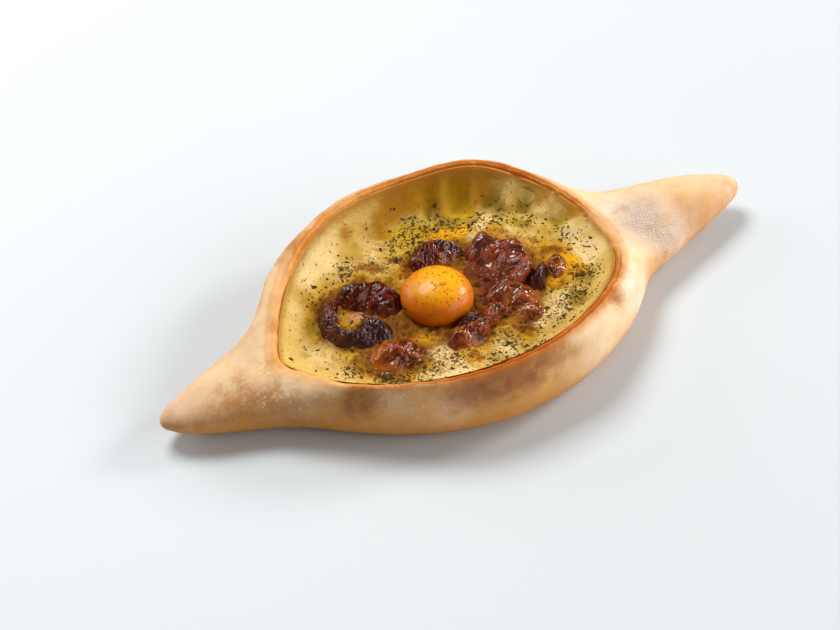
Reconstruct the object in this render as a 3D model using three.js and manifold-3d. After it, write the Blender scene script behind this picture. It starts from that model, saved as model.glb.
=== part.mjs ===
// A boat-shaped cheese bread (khachapuri): a baked dough boat with a pointed grip at
// each end, filled with melted cheese and topped with an egg yolk, folded slices of
// roasted tomato and flakes of dried herb.
// Millimetres. +X runs along the boat, +Y across it and +Z up. The origin is the
// middle of the base, which is the flat face that the bread was baked on.
import * as THREE from "three";
import { mergeVertices } from "three/addons/utils/BufferGeometryUtils.js";
import ManifoldModule from "manifold-3d";

// ---- Driving dimensions -------------------------------------------------------

const HALF_LENGTH = 160; // half of the length from grip to grip
const BODY_X = -8; // middle of the round body
const BODY_HALF_LENGTH = { right: 94, left: 96.5 };
const BODY_HALF_WIDTH = 74;
const BODY_GRIP_BLEND = { right: 20, left: 26 }; // fillet in to a grip, seen from above
const FRONT_RUN = { from: -70, to: -126 }; // an even run in to the left grip at the front
const BELLY_HEIGHT = 16; // height of the widest line along the body

// A grip is a blunt cone. Its half width grows with the root of the distance from its end
// and with the distance itself, and its half height with the root up to a limit.
const GRIPS = {
  right: { axisHeight: 15, root: 2.4, taper: 0.12, rise: 2.1, riseLimit: 13, sway: 2.2, roll: 0.55 },
  left: { axisHeight: 13, root: 2.6, taper: 0.1, rise: 2.1, riseLimit: 14, sway: -1.4, roll: 0.4 },
};
const GRIP_TOP_BLEND = 20; // how far out from the rim the top of a grip climbs to it
const GRIP_SPAN = [10, 26]; // a side this wide below the rim turns from a wall to a grip's top
const GRIP_SWAY_RUN = [85, 135]; // the stretch of the length over which a grip sways aside
const GRIP_LIMIT_BLEND = 3; // rounding where a grip's half height meets its limit
const FILLET_FADE = [20, 60]; // distances from an end over which the fillet grows
const LEAST_BLEND = 0.01; // what is left of it at the very end
const BELLY_RUN = [15, 60]; // half widths over which the widest line leaves a grip's middle

const BODY_ROLL = 12.5; // the side rolls under by this much to meet the flat base
const TIP_ROLL = 7; // and by this much at the end of a grip
const TIP_ROLL_FROM = 110; // the distance from the middle at which that starts
const BASE_LIFT = [105, 125]; // distances from the middle over which a grip leaves the ground
const BASE_LIFT_BLEND = 2; // rounding where it does
const FLAT_SHARE = 0.6; // the share of the underside that stays flat below a grip

const OPENING_X = -14; // middle of the opening
const OPENING_HALF_LENGTH = { right: 88.5, left: 91 };
const OPENING_HALF_WIDTH = 66;
const CORNER_SHARPNESS = { leftBack: 1.65, leftFront: 1.28, rightBack: 0.62, rightFront: 1.14 };
const CORNER_SHIFT = -5.5; // the left corner sits a little towards the front
const RIM_HEIGHT = { corner: 27.5, side: 39 };
const RIM_CREST = { angle: 57, spread: 18, height: 6 }; // the highest point, at the back
const RIM_WIDTH = 3; // the thin edge of baked dough round the opening
const RIM_FALL = 0.7; // the edge slopes in by this much
const WALL_FULLNESS = { plain: 2, backLeft: 3 }; // 2 is an elliptic shoulder, more is squarer
const BACK_LEFT = { direction: 2.3, power: 3 }; // where the squarer shoulder is, and how short
const SWELL = { depth: 1.2, wave: 62 }; // unevenness of the side

const FLOOR_HEIGHT = 8; // dough under the filling
// The dough's inner wall: how far in from the rim, what share of the depth is left, and how
// many stations apart its points are.
const INNER_WALL = [[0.8, 0.86, 1], [2, 0.6, 1], [4.5, 0.3, 2], [9, 0.08, 2], [15, 0, 4]];

const POOL_HEIGHT = 20; // level of the melted cheese
const FILM_REACH = 18; // how far in from the rim the cheese still climbs the wall
const FILM_EDGE = { inset: 0.7, top: 1.2, thickness: 0.6 }; // its edge, in from and below the rim
const GAP = 0.35; // clearance between neighbouring pieces
const SLICE_GAP = 0.45; // and round a slice, which is only moved apart at its points

const YOLK = { x: -20.8, y: -4.2, z: 26, radius: 17.4, halfHeight: 12.2, flattened: 0.95 };

// Lumps in the cheese: place, radius, height.
const LUMPS = [
  { x: -14, y: -6, radius: 42, height: 2.5 },
  { x: -32, y: -47, radius: 10, height: 4.2 },
  { x: -24, y: -41, radius: 7, height: 2.4 },
  { x: 27, y: -37, radius: 10, height: 3.6 },
  { x: 36, y: -30, radius: 7, height: 2.6 },
  { x: 26, y: 35, radius: 6, height: 3.2 },
  { x: 20, y: 25, radius: 6, height: 2.8 },
  { x: -73, y: -22, radius: 7, height: 1.8 },
  { x: -42, y: 29, radius: 9, height: 2.4 },
  { x: -27, y: 26, radius: 5, height: 2 },
  { x: 50, y: -14, radius: 9, height: 1.8 },
  { x: 8, y: 33, radius: 7, height: 1.4 },
  { x: -58, y: 3, radius: 5.5, height: 3.2 },
];
const LUMP_FALL = 1.6; // how fast a lump falls away towards its radius
const RIPPLES = [{ depth: 0.6, wave: 23 }, { depth: 0.4, wave: 11 }]; // over the whole pool
// Folds where the cheese has run down the wall at the back right, by angle round the opening.
const WALL_FOLDS = { from: 0.05, to: 1.25, fade: 0.1, spacing: 0.24, depth: 2.4 };

// Slices of roasted tomato. Each follows a line of [x, y, height over the cheese, width], and
// `crest` says how far its ridge lies to the left of its middle.
const SLICES = [
  { name: "tomato_back", colour: "#471512", crest: 0.35,
    line: [[-19.5, 19, 4.6, 11], [-11, 24, 7.4, 14], [-2, 24, 7.6, 14.5], [8, 18.5, 5, 12]] },
  { name: "tomato_back_right", colour: "#4d1710", crest: 0.3,
    line: [[5, 13, 5, 10], [13, 13, 8.2, 18], [21.5, 9, 8.6, 19], [25.5, 2, 8.4, 15],
      [25.5, -5, 8, 10.5], [20, -10, 7.6, 8], [11, -10.5, 6.6, 7], [1, -12, 4.4, 6]] },
  { name: "tomato_right", colour: "#5c1c10", crest: 0.3,
    line: [[-1, -15.5, 3.8, 8], [7.5, -16.5, 5.6, 13], [14, -21, 6.2, 17], [13.5, -28.5, 5.8, 15],
      [8, -34.5, 3.4, 10]] },
  { name: "tomato_front_right", colour: "#521710", crest: 0.2,
    line: [[7, -27, 5.6, 6.5], [0.5, -24.5, 7.6, 10], [-5, -25, 7.6, 10], [-10.5, -28, 7.2, 10.5],
      [-17.5, -30, 7, 13], [-24, -30, 6.2, 13.5], [-31, -28, 4, 10]] },
  { name: "tomato_under_yolk", colour: "#2c0e0c", crest: 0,
    line: [[-8, -19.5, 5, 6.5], [-15.5, -23.5, 5.8, 7.5], [-24, -25, 4, 7]] },
  { name: "tomato_left", colour: "#471412", crest: 0.35,
    line: [[-62, 21, 4.2, 11], [-54, 18.5, 7.6, 17], [-47, 13.5, 8, 18.5], [-42.5, 6.5, 7.4, 17.5],
      [-40.5, -2, 4.8, 13]] },
  { name: "tomato_left_curl", colour: "#260c0e", crest: 0,
    line: [[-60.5, 21, 4.6, 8], [-67, 17, 6.2, 9.5], [-71.5, 10, 6.4, 9.5], [-72, 2.5, 6.4, 9.5],
      [-68, -4, 6.2, 9.5], [-61, -7.5, 6.4, 12], [-53.5, -7, 7.2, 16], [-47, -5.5, 4.8, 12]] },
  { name: "tomato_front_left", colour: "#7c3512", crest: 0.1,
    line: [[-66.5, -21, 3.8, 13], [-58, -24, 6, 19], [-49, -25, 6.2, 19.5], [-40.5, -25.5, 3.8, 14]] },
  { name: "tomato_charred_leaf", colour: "#180b0b", crest: 0.2,
    line: [[37.5, -7, 4.6, 5], [31.5, -11, 7, 7.5], [26.5, -16, 6.6, 7.5], [24.5, -20, 3.6, 6]] },
  { name: "tomato_far_right", colour: "#8c3a14", crest: 0,
    line: [[46.5, -2, 2.8, 7], [42, -9.5, 4.8, 10.5], [36, -17.5, 2.8, 7]] },
];
// The edges of a slice lie `edge` below the level of the cheese and its underside `bottom`
// below that. Its ends fall away over the last `end` mm to `endHeight` of its height. A
// smaller `dome` gives it a blunter ridge and a larger `blunt` blunter ends.
const SLICE = { edge: 0.3, bottom: 1.5, end: 5, endHeight: 0.45, dome: 0.9, blunt: 1.2 };
const POCKET_RISE = 2; // the cheese is cleared this far above a slice
// Its skin is rumpled: its height, its edges and its crest wander by these shares.
const RUMPLES = { height: 0.2, edge: 0.2, crest: 0.25, wave: 9 };

// Where the dried herbs fell: the middle of each pinch, its spread and how many flakes.
const HERB_PINCHES = [
  { x: -14, y: 42, spread: 13, count: 13 },
  { x: 28, y: 36, spread: 12, count: 11 },
  { x: 55, y: 6, spread: 13, count: 9 },
  { x: 27, y: -40, spread: 10, count: 9 },
  { x: -10, y: -49, spread: 14, count: 8 },
  { x: -75, y: -20, spread: 9, count: 8 },
  { x: -60, y: 33, spread: 12, count: 7 },
  { x: -45, y: -46, spread: 12, count: 6 },
];
const FLAKE = { length: [1.6, 3.4], width: [0.9, 1.5], height: 0.55, sunk: 0.35, sides: 5 };
const FLAKE_EDGE = { reach: [0.75, 1.1], top: 0.8 }; // how uneven it is, and its top's share
const HERB_SEED = 7;
const HERB_MARGIN = { topping: 3.2, rim: 6, flake: 3.8 }; // least distances from a flake's middle

// ---- Mesh density -------------------------------------------------------------

const STATIONS = 88; // points round the boat
// Rings of the underside: share of the way out, and how many stations apart its points are.
const UNDERSIDE_RINGS = [[0.6, 4], [0.82, 2], [1, 1]];
const LOWER_WALL_STEPS = 3;
const UPPER_WALL_STEPS = 7;
// Rings of the cheese's top, in mm from the rim, then as a share of the way from the middle
// with how many stations apart its points are.
const FILM_RINGS = [1.9, 3.6, 6, 9, 12.5, 17];
const POOL_RINGS = [[0.66, 2], [0.56, 2], [0.46, 2], [0.36, 2], [0.25, 4], [0.13, 4]];
const SLICE_STEP = 2.8; // mm between the rings of a slice
const SLICE_TURNS = [0, 32, 58, 80, 100, 122, 148, 180, 240, 300]; // points round a slice
const YOLK_SEGMENTS = [24, 13];

// ---- Small helpers --------------------------------------------------------------

const { clamp, lerp, smoothstep, degToRad, radToDeg } = THREE.MathUtils;
const wasm = await ManifoldModule();
wasm.setup();

/** The larger of two values, rounded where they are within `blend` of each other. */
function softMax(a, b, blend) {
  const near = Math.max(blend - Math.abs(a - b), 0) / blend;
  return Math.max(a, b) + (near * near * blend) / 4;
}

/** A repeatable stream of numbers from 0 to 1. */
function seededRandom(seed) {
  let state = seed;
  return () => {
    state = (Math.imul(state, 1664525) + 1013904223) >>> 0;
    return state / 2 ** 32;
  };
}

/** Gentle unevenness from -1 to 1 over the plane, with waves about `scale` mm long. */
function unevenness(x, y, scale, phase = 0) {
  const k = (2 * Math.PI) / scale;
  return (
    Math.sin(k * (x + 0.31 * y) + phase) +
    Math.sin(k * (0.83 * y - 0.52 * x) + 1.7 * phase + 1.3) +
    Math.sin(k * (0.61 * x + 1.27 * y) + 2.3 * phase + 4.1)
  ) / 3;
}

/**
 * A closed mesh from a stack of loops, whose first and last are single points. A loop may
 * have half or twice as many points as the one before it.
 */
function closedStack(loops) {
  const positions = [];
  const starts = loops.map((loop) => {
    const start = positions.length / 3;
    loop.forEach((p) => positions.push(p.x, p.y, p.z));
    return start;
  });
  const index = [];
  const at = (k, i) => starts[k] + (i % loops[k].length);
  for (let j = 0; j + 1 < loops.length; j++) {
    const [low, high] = [loops[j].length, loops[j + 1].length];
    if (high > 1 && high * 2 === low) {
      for (let i = 0; i < high; i++) {
        index.push(at(j, 2 * i), at(j, 2 * i + 1), at(j + 1, i));
        index.push(at(j, 2 * i + 1), at(j + 1, i + 1), at(j + 1, i));
        index.push(at(j, 2 * i + 1), at(j, 2 * i + 2), at(j + 1, i + 1));
      }
      continue;
    }
    if (low > 1 && low * 2 === high) {
      for (let i = 0; i < low; i++) {
        index.push(at(j, i), at(j, i + 1), at(j + 1, 2 * i + 1));
        index.push(at(j, i), at(j + 1, 2 * i + 1), at(j + 1, 2 * i));
        index.push(at(j, i + 1), at(j + 1, 2 * i + 2), at(j + 1, 2 * i + 1));
      }
      continue;
    }
    for (let i = 0; i < Math.max(low, high); i++) {
      if (low > 1) index.push(at(j, i), at(j, i + 1), at(j + 1, i + 1));
      if (high > 1) index.push(at(j, i), at(j + 1, i + 1), at(j + 1, i));
    }
  }
  const geometry = new THREE.BufferGeometry();
  geometry.setAttribute("position", new THREE.Float32BufferAttribute(positions, 3));
  geometry.setIndex(index);
  return geometry;
}

/** A closed geometry as a solid that can be joined and cut. */
function toSolid(geometry) {
  const bare = geometry.clone();
  bare.deleteAttribute("normal");
  bare.deleteAttribute("uv");
  const merged = mergeVertices(bare, 1e-4);
  return new wasm.Manifold(
    new wasm.Mesh({
      numProp: 3,
      vertProperties: new Float32Array(merged.attributes.position.array),
      triVerts: new Uint32Array(merged.index.array),
    }),
  );
}

/** A solid as a geometry again. */
function toGeometry(solid) {
  const mesh = solid.getMesh();
  const geometry = new THREE.BufferGeometry();
  const positions = new Float32Array(mesh.vertProperties);
  geometry.setAttribute("position", new THREE.BufferAttribute(positions, 3));
  geometry.setIndex(Array.from(mesh.triVerts));
  return geometry;
}

// ---- The boat's outline and rim -----------------------------------------------

const gripAt = (x) => (x > 0 ? GRIPS.right : GRIPS.left);
const fromEnd = (x) => Math.max(HALF_LENGTH - Math.abs(x), 0);

/** Half width, half height and sideways bend of the grip at x. */
function gripSection(x) {
  const grip = gripAt(x);
  const root = Math.sqrt(fromEnd(x));
  return {
    across: grip.root * root + grip.taper * fromEnd(x),
    high: -softMax(-grip.rise * root, -grip.riseLimit, GRIP_LIMIT_BLEND),
    bend: grip.sway * smoothstep(Math.abs(x), ...GRIP_SWAY_RUN),
  };
}

/** Half of the boat's width at x, seen from above, as a round body filleted in to its grips. */
function filletedHalfWidth(x) {
  const halfLength = x > BODY_X ? BODY_HALF_LENGTH.right : BODY_HALF_LENGTH.left;
  const along = clamp((x - BODY_X) / halfLength, -1, 1);
  const body = BODY_HALF_WIDTH * Math.sqrt(1 - along * along);
  // The fillet fades out at the very ends, where the grip alone is rounded.
  const fillet = x > BODY_X ? BODY_GRIP_BLEND.right : BODY_GRIP_BLEND.left;
  const blend = fillet * smoothstep(fromEnd(x), ...FILLET_FADE) + LEAST_BLEND;
  return softMax(body, gripSection(x).across, blend);
}

/** Half of the boat's width at x, at its back or its front. */
function halfWidth(x, atBack) {
  const { from, to } = FRONT_RUN;
  if (atBack || x > from || x < to) return filletedHalfWidth(x);
  // A cubic that leaves and meets the outline at its own slopes.
  const slopeAt = (place) => filletedHalfWidth(place) - filletedHalfWidth(place + 1);
  const span = from - to;
  const share = (from - x) / span;
  const start = filletedHalfWidth(from) * (1 + 2 * share) + slopeAt(from) * span * share;
  const end = filletedHalfWidth(to) * (3 - 2 * share) - slopeAt(to) * span * (1 - share);
  return (1 - share) ** 2 * start + share ** 2 * end;
}

/** The boat's widest line from its right end to its left, along its back or its front. */
class WidestLine extends THREE.Curve {
  constructor(atBack) {
    super();
    this.atBack = atBack;
    this.arcLengthDivisions = 600;
  }

  getPoint(t, target = new THREE.Vector3()) {
    const x = HALF_LENGTH * Math.cos(Math.PI * t);
    // The very ends are points, so that the two sides meet there.
    const out = t > 0 && t < 1 ? halfWidth(x, this.atBack) : 0;
    const height = lerp(gripAt(x).axisHeight, BELLY_HEIGHT, smoothstep(out, ...BELLY_RUN));
    return target.set(x, (this.atBack ? out : -out) + gripSection(x).bend, height);
  }
}

/** The rim's outer edge at angle theta from the right corner. */
function rimEdge(theta) {
  const c = Math.cos(theta);
  const s = Math.sin(theta);
  const left = (1 - c) / 2;
  const back = (1 + s) / 2;
  const sharp = CORNER_SHARPNESS;
  const power =
    left * (back * sharp.leftBack + (1 - back) * sharp.leftFront) +
    (1 - left) * (back * sharp.rightBack + (1 - back) * sharp.rightFront);
  const fromCrest = (radToDeg(theta) - RIM_CREST.angle) / RIM_CREST.spread;
  const halfLength = c > 0 ? OPENING_HALF_LENGTH.right : OPENING_HALF_LENGTH.left;
  return new THREE.Vector3(
    OPENING_X + halfLength * c,
    OPENING_HALF_WIDTH * Math.sign(s) * Math.abs(s) ** power + CORNER_SHIFT * left ** 6,
    lerp(RIM_HEIGHT.corner, RIM_HEIGHT.side, Math.abs(s) ** 1.5) +
      RIM_CREST.height * Math.exp(-fromCrest * fromCrest),
  );
}

const MIDDLE = new THREE.Vector2(OPENING_X, 0);

/** A point moved `inset` mm towards the middle of the opening, at height z. */
function inward(point, inset, z) {
  const flat = new THREE.Vector2(point.x, point.y).sub(MIDDLE);
  const share = Math.max(1 - inset / flat.length(), 0);
  return new THREE.Vector3(MIDDLE.x + flat.x * share, MIDDLE.y + flat.y * share, z);
}

/** A closed line round the middle that can be asked for its point in any direction. */
class LineByDirection {
  constructor(points) {
    const angle = (p) => Math.atan2(p.y - MIDDLE.y, p.x - MIDDLE.x);
    this.entries = points.map((p) => [angle(p), p]).sort((a, b) => a[0] - b[0]);
  }

  towards(direction) {
    const { entries } = this;
    const found = entries.findIndex(([angle]) => angle > direction);
    const next = found < 0 ? 0 : found;
    const last = (next + entries.length - 1) % entries.length;
    const turn = (from, to) => (to - from + 4 * Math.PI) % (2 * Math.PI);
    const share = turn(entries[last][0], direction) / turn(entries[last][0], entries[next][0]);
    return entries[last][1].clone().lerp(entries[next][1], share);
  }
}

// Stations evenly spaced along the widest line, each with the rim point in its direction.
const [backLine, frontLine] = [new WidestLine(true), new WidestLine(false)];
const rimLine = new LineByDirection(
  Array.from({ length: 720 }, (_, i) => rimEdge((2 * Math.PI * i) / 720)),
);
const stations = Array.from({ length: STATIONS }, (_, i) => {
  const along = (2 * i) / STATIONS;
  const belly = along < 1 ? backLine.getPointAt(along) : frontLine.getPointAt(2 - along);
  const rim = rimLine.towards(Math.atan2(belly.y - MIDDLE.y, belly.x - MIDDLE.x));
  return { belly, rim, lip: inward(rim, RIM_WIDTH, rim.z - RIM_FALL) };
});

/** One point for each station, or for every second or fourth. */
function loopOf(place, stride = 1) {
  return stations.filter((_, i) => i % stride === 0).map((station) => place(station));
}

// ---- The dough boat -------------------------------------------------------------

/** The edge of the underside: flat below the body, and rising under the grips. */
function basePoint({ belly }) {
  const tipRoll = TIP_ROLL * smoothstep(Math.abs(belly.x), TIP_ROLL_FROM, HALF_LENGTH);
  const x = belly.x - Math.sign(belly.x) * tipRoll;
  const grip = gripAt(x);
  const y = belly.y - Math.sign(belly.y) * Math.min(BODY_ROLL, grip.roll * Math.abs(belly.y));
  const low = grip.axisHeight - grip.rise * Math.sqrt(fromEnd(x));
  const lift = smoothstep(Math.abs(x), ...BASE_LIFT);
  return new THREE.Vector3(x, y, softMax(low, 0, BASE_LIFT_BLEND) * lift);
}

/** A point on the underside, part of the way from its middle to its edge. */
function undersidePoint(station, share) {
  const point = new THREE.Vector3(BODY_X, 0, 0).lerp(basePoint(station), share);
  return point.setZ(point.z * smoothstep(share, FLAT_SHARE, 1));
}

/** The side of the boat from the base (0) to the widest line (1), a quarter ellipse. */
function lowerWallPoint(station, share) {
  const base = basePoint(station);
  const turn = (share * Math.PI) / 2;
  const point = base.clone().lerp(station.belly, Math.sin(turn));
  return point.setZ(lerp(base.z, station.belly.z, 1 - Math.cos(turn)));
}

/** Height of the top of the grip at (x, y). */
function gripTop(x, y) {
  const { across, high, bend } = gripSection(x);
  const aside = clamp((y - bend) / across, -1, 1);
  return gripAt(x).axisHeight + high * Math.sqrt(1 - aside * aside);
}

/** The outer surface from the widest line (0) to the rim (1). */
function upperWallPoint({ belly, rim }, share) {
  const turn = (share * Math.PI) / 2;
  const out = Math.cos(turn);
  const point = rim.clone().lerp(belly, out);
  const fromBackLeft = Math.atan2(rim.y, rim.x - MIDDLE.x) - BACK_LEFT.direction;
  const backLeft = Math.max(Math.cos(fromBackLeft), 0) ** BACK_LEFT.power;
  const fullness = lerp(WALL_FULLNESS.plain, WALL_FULLNESS.backLeft, backLeft);
  const wall = lerp(belly.z, rim.z, (1 - out ** fullness) ** (1 / fullness));
  // A grip's top climbs to the rim over the last stretch.
  const span = Math.hypot(rim.x - belly.x, rim.y - belly.y);
  const near = 1 - smoothstep(span * out, 0, GRIP_TOP_BLEND);
  const top = gripTop(point.x, point.y) + (rim.z - gripTop(rim.x, rim.y)) * near;
  point.z = lerp(wall, top, smoothstep(span, ...GRIP_SPAN));
  const wave = unevenness(point.x, point.y + point.z, SWELL.wave);
  const outwards = new THREE.Vector3(point.x - BODY_X, point.y, 0).normalize();
  return point.addScaledVector(outwards, SWELL.depth * wave * Math.sin(2 * turn));
}

/** The inner wall and floor of the dough, raised and drawn in by `gap` for the filling. */
function innerWallPoint({ lip }, [inset, share], gap = 0) {
  return inward(lip, inset + gap, lerp(FLOOR_HEIGHT, lip.z, share) + gap);
}

function bread() {
  const rings = [
    [new THREE.Vector3(BODY_X, 0, 0)],
    ...UNDERSIDE_RINGS.map(([share, stride]) => loopOf((s) => undersidePoint(s, share), stride)),
  ];
  for (let k = 1; k <= LOWER_WALL_STEPS; k++) {
    rings.push(loopOf((s) => lowerWallPoint(s, k / LOWER_WALL_STEPS)));
  }
  for (let k = 1; k <= UPPER_WALL_STEPS; k++) {
    rings.push(loopOf((s) => upperWallPoint(s, k / UPPER_WALL_STEPS)));
  }
  rings.push(loopOf((s) => s.lip));
  INNER_WALL.forEach((step) => rings.push(loopOf((s) => innerWallPoint(s, step), step[2])));
  rings.push([new THREE.Vector3(MIDDLE.x, MIDDLE.y, FLOOR_HEIGHT)]);
  return closedStack(rings);
}

// ---- The cheese -------------------------------------------------------------------

const lipLine = new LineByDirection(stations.map(({ lip }) => lip));

/** Distance and height of the lip seen from the middle. */
function lipTowards(angle) {
  const point = lipLine.towards(angle);
  return { reach: Math.hypot(point.x - MIDDLE.x, point.y - MIDDLE.y), z: point.z };
}

/** Height of the cheese at (x, y): a pool that climbs the wall as a film, with lumps. */
function cheeseHeight(x, y) {
  const angle = Math.atan2(y - MIDDLE.y, x - MIDDLE.x);
  const { reach, z } = lipTowards(angle);
  const inset = reach - Math.hypot(x - MIDDLE.x, y - MIDDLE.y);
  const climb = clamp(1 - inset / FILM_REACH, 0, 1);
  const { from, to, fade, spacing, depth } = WALL_FOLDS;
  const past = (limit) => smoothstep(angle, limit - fade, limit + fade);
  const fold = (past(from) - past(to)) * (0.5 + 0.5 * Math.cos((2 * Math.PI * angle) / spacing));
  let height = lerp(POOL_HEIGHT, z - FILM_EDGE.top, climb * climb);
  height -= fold * depth * Math.sin(Math.PI * climb) ** 2;
  for (const lump of LUMPS) {
    const away = Math.hypot(x - lump.x, y - lump.y) / lump.radius;
    height += lump.height * Math.exp(-LUMP_FALL * away * away) * (1 - climb);
  }
  RIPPLES.forEach(({ depth: rippleDepth, wave }, i) => {
    height += (1 - climb) * rippleDepth * unevenness(x, y, wave, i + 1);
  });
  return height;
}

function cheeseBody() {
  const bottom = INNER_WALL.map((step) => loopOf((s) => innerWallPoint(s, step, GAP), step[2]));
  const top = FILM_RINGS.map((inset) =>
    loopOf((s) => {
      const point = inward(s.lip, inset, 0);
      return point.setZ(cheeseHeight(point.x, point.y));
    }),
  );
  const pool = POOL_RINGS.map(([share, stride]) =>
    loopOf((s) => {
      const point = new THREE.Vector3(MIDDLE.x, MIDDLE.y, 0).lerp(s.lip, share);
      return point.setZ(cheeseHeight(point.x, point.y));
    }, stride),
  );
  return closedStack([
    [new THREE.Vector3(MIDDLE.x, MIDDLE.y, FLOOR_HEIGHT + GAP)],
    ...bottom.reverse(),
    loopOf((s) => inward(s.lip, FILM_EDGE.inset, s.lip.z - FILM_EDGE.top - FILM_EDGE.thickness)),
    ...top,
    ...pool,
    [new THREE.Vector3(MIDDLE.x, MIDDLE.y, cheeseHeight(MIDDLE.x, MIDDLE.y))],
  ]);
}

// ---- The yolk and the tomato slices ---------------------------------------------

function yolk(clearance = 0) {
  const geometry = new THREE.SphereGeometry(1, ...YOLK_SEGMENTS);
  geometry.rotateX(Math.PI / 2);
  const radius = YOLK.radius + clearance;
  geometry.scale(radius, radius, YOLK.halfHeight + clearance);
  // The yolk sags a little, so it is flatter on top than below.
  const position = geometry.attributes.position;
  for (let i = 0; i < position.count; i++) {
    const z = position.getZ(i);
    position.setZ(i, z > 0 ? z * YOLK.flattened : z);
  }
  geometry.translate(YOLK.x, YOLK.y, YOLK.z);
  return geometry;
}

/** A value of a slice's line as a smooth curve, from point to point. */
function sliceCurve(slice, pick) {
  return new THREE.CatmullRomCurve3(slice.line.map(pick), false, "catmullrom");
}

/** A slice of roasted tomato: a rumpled flap with a ridge along it, laid over the cheese. */
function tomatoSlice(slice, number) {
  const course = sliceCurve(slice, ([x, y]) => new THREE.Vector3(x, y, 0));
  const body = sliceCurve(slice, ([, , high, width]) => new THREE.Vector3(high, width, 0));
  const length = course.getLength();
  const steps = Math.round(length / SLICE_STEP);
  const level = (point) => cheeseHeight(point.x, point.y) - SLICE.edge;
  const end = (t) => {
    const point = course.getPoint(t);
    return [point.setZ(level(point))];
  };
  const ring = (t) => {
    const [high, width] = body.getPoint(t);
    const taper = Math.sqrt(1 - Math.abs(2 * t - 1) ** (SLICE.blunt * slice.line.length));
    const fall = clamp((Math.min(t, 1 - t) * length) / SLICE.end, SLICE.endHeight, 1);
    const side = course.getTangent(t).applyAxisAngle(new THREE.Vector3(0, 0, 1), Math.PI / 2);
    const rumple = (aside, seed) => unevenness(t * length, aside, RUMPLES.wave, number + seed);
    const crest = slice.crest + RUMPLES.crest * rumple(0, 0);
    return SLICE_TURNS.map((degrees) => {
      const across = Math.cos(degToRad(degrees));
      const up = Math.sin(degToRad(degrees));
      const aside = (across * width) / 2;
      const reach = aside * (1 + RUMPLES.edge * rumple(aside, 3)) * taper;
      const point = course.getPoint(t).addScaledVector(side, reach);
      const z = level(point);
      if (up < -1e-9) return point.setZ(z + SLICE.bottom * taper * up);
      const fromCrest = Math.abs(across - crest) / (1 - Math.sign(across - crest) * crest);
      const dome = Math.max(Math.cos((Math.PI / 2) * Math.min(fromCrest, 1)), 0) ** SLICE.dome;
      const rise = high * dome * fall * taper * (1 + RUMPLES.height * rumple(aside, 7));
      return point.setZ(z + rise);
    });
  };
  const rings = Array.from({ length: steps - 1 }, (_, k) => ring((k + 1) / steps));
  return closedStack([end(0), ...rings, end(1)]);
}

/** A closed mesh made larger, with its points moved outwards and its upper side raised. */
function grown(geometry, distance, raised = 0) {
  const larger = geometry.clone();
  larger.computeVertexNormals();
  const { position, normal } = larger.attributes;
  for (let i = 0; i < position.count; i++) {
    const point = new THREE.Vector3().fromBufferAttribute(position, i);
    const out = new THREE.Vector3().fromBufferAttribute(normal, i);
    point.addScaledVector(out, distance);
    position.setXYZ(i, point.x, point.y, point.z + raised * smoothstep(out.z, 0, 0.5));
  }
  return larger;
}

// ---- Dried herbs on the cheese -----------------------------------------------------

/** Whether a flake at (x, y) would lie clear of the yolk, the slices and the rim. */
function clearForHerb(x, y) {
  if (Math.hypot(x - YOLK.x, y - YOLK.y) < YOLK.radius + HERB_MARGIN.topping) return false;
  const { reach } = lipTowards(Math.atan2(y - MIDDLE.y, x - MIDDLE.x));
  if (Math.hypot(x - MIDDLE.x, y - MIDDLE.y) > reach - HERB_MARGIN.rim) return false;
  return SLICES.every((slice) => {
    const line = sliceCurve(slice, ([a, b, , width]) => new THREE.Vector3(a, b, width));
    const clearOf = (p) => Math.hypot(p.x - x, p.y - y) > p.z / 2 + HERB_MARGIN.topping;
    return line.getPoints(30).every(clearOf);
  });
}

/** One flake: a thin, uneven chip pressed into a surface whose height is topAt(x, y). */
function herbFlake(topAt, x, y, length, width, heading, random) {
  const corners = Array.from({ length: FLAKE.sides }, (_, i) => {
    const turn = (2 * Math.PI * i) / FLAKE.sides;
    const reach = lerp(...FLAKE_EDGE.reach, random()) / 2;
    return new THREE.Vector2(length * Math.cos(turn) * reach, width * Math.sin(turn) * reach);
  });
  const place = (corner, share, lift) => {
    const turned = corner.clone().multiplyScalar(share).rotateAround(new THREE.Vector2(), heading);
    const [px, py] = [x + turned.x, y + turned.y];
    return new THREE.Vector3(px, py, topAt(px, py) + lift);
  };
  const centre = new THREE.Vector2();
  return closedStack([
    [place(centre, 1, -FLAKE.sunk)],
    corners.map((corner) => place(corner, 1, -FLAKE.sunk)),
    corners.map((corner) => place(corner, FLAKE_EDGE.top, FLAKE.height)),
    [place(centre, 1, FLAKE.height)],
  ]);
}

function herbFlakes(geometry) {
  const surface = new THREE.Mesh(geometry);
  const down = new THREE.Vector3(0, 0, -1);
  const caster = new THREE.Raycaster();
  const topAt = (x, y) => {
    caster.set(new THREE.Vector3(x, y, 100), down);
    return caster.intersectObject(surface)[0].point.z;
  };
  const random = seededRandom(HERB_SEED);
  const flakes = [];
  const taken = [];
  for (const pinch of HERB_PINCHES) {
    let placed = 0;
    for (let tries = 0; placed < pinch.count && tries < 400; tries++) {
      const away = pinch.spread * Math.sqrt(random());
      const turn = 2 * Math.PI * random();
      const [x, y] = [pinch.x + away * Math.cos(turn), pinch.y + away * Math.sin(turn)];
      const apart = taken.every(([a, b]) => Math.hypot(a - x, b - y) > HERB_MARGIN.flake);
      if (!apart || !clearForHerb(x, y)) continue;
      const length = lerp(...FLAKE.length, random());
      const width = lerp(...FLAKE.width, random());
      flakes.push(toSolid(herbFlake(topAt, x, y, length, width, Math.PI * random(), random)));
      taken.push([x, y]);
      placed += 1;
    }
  }
  return flakes;
}

// ---- Assembly -----------------------------------------------------------------------

const boat = new THREE.Group();

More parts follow.
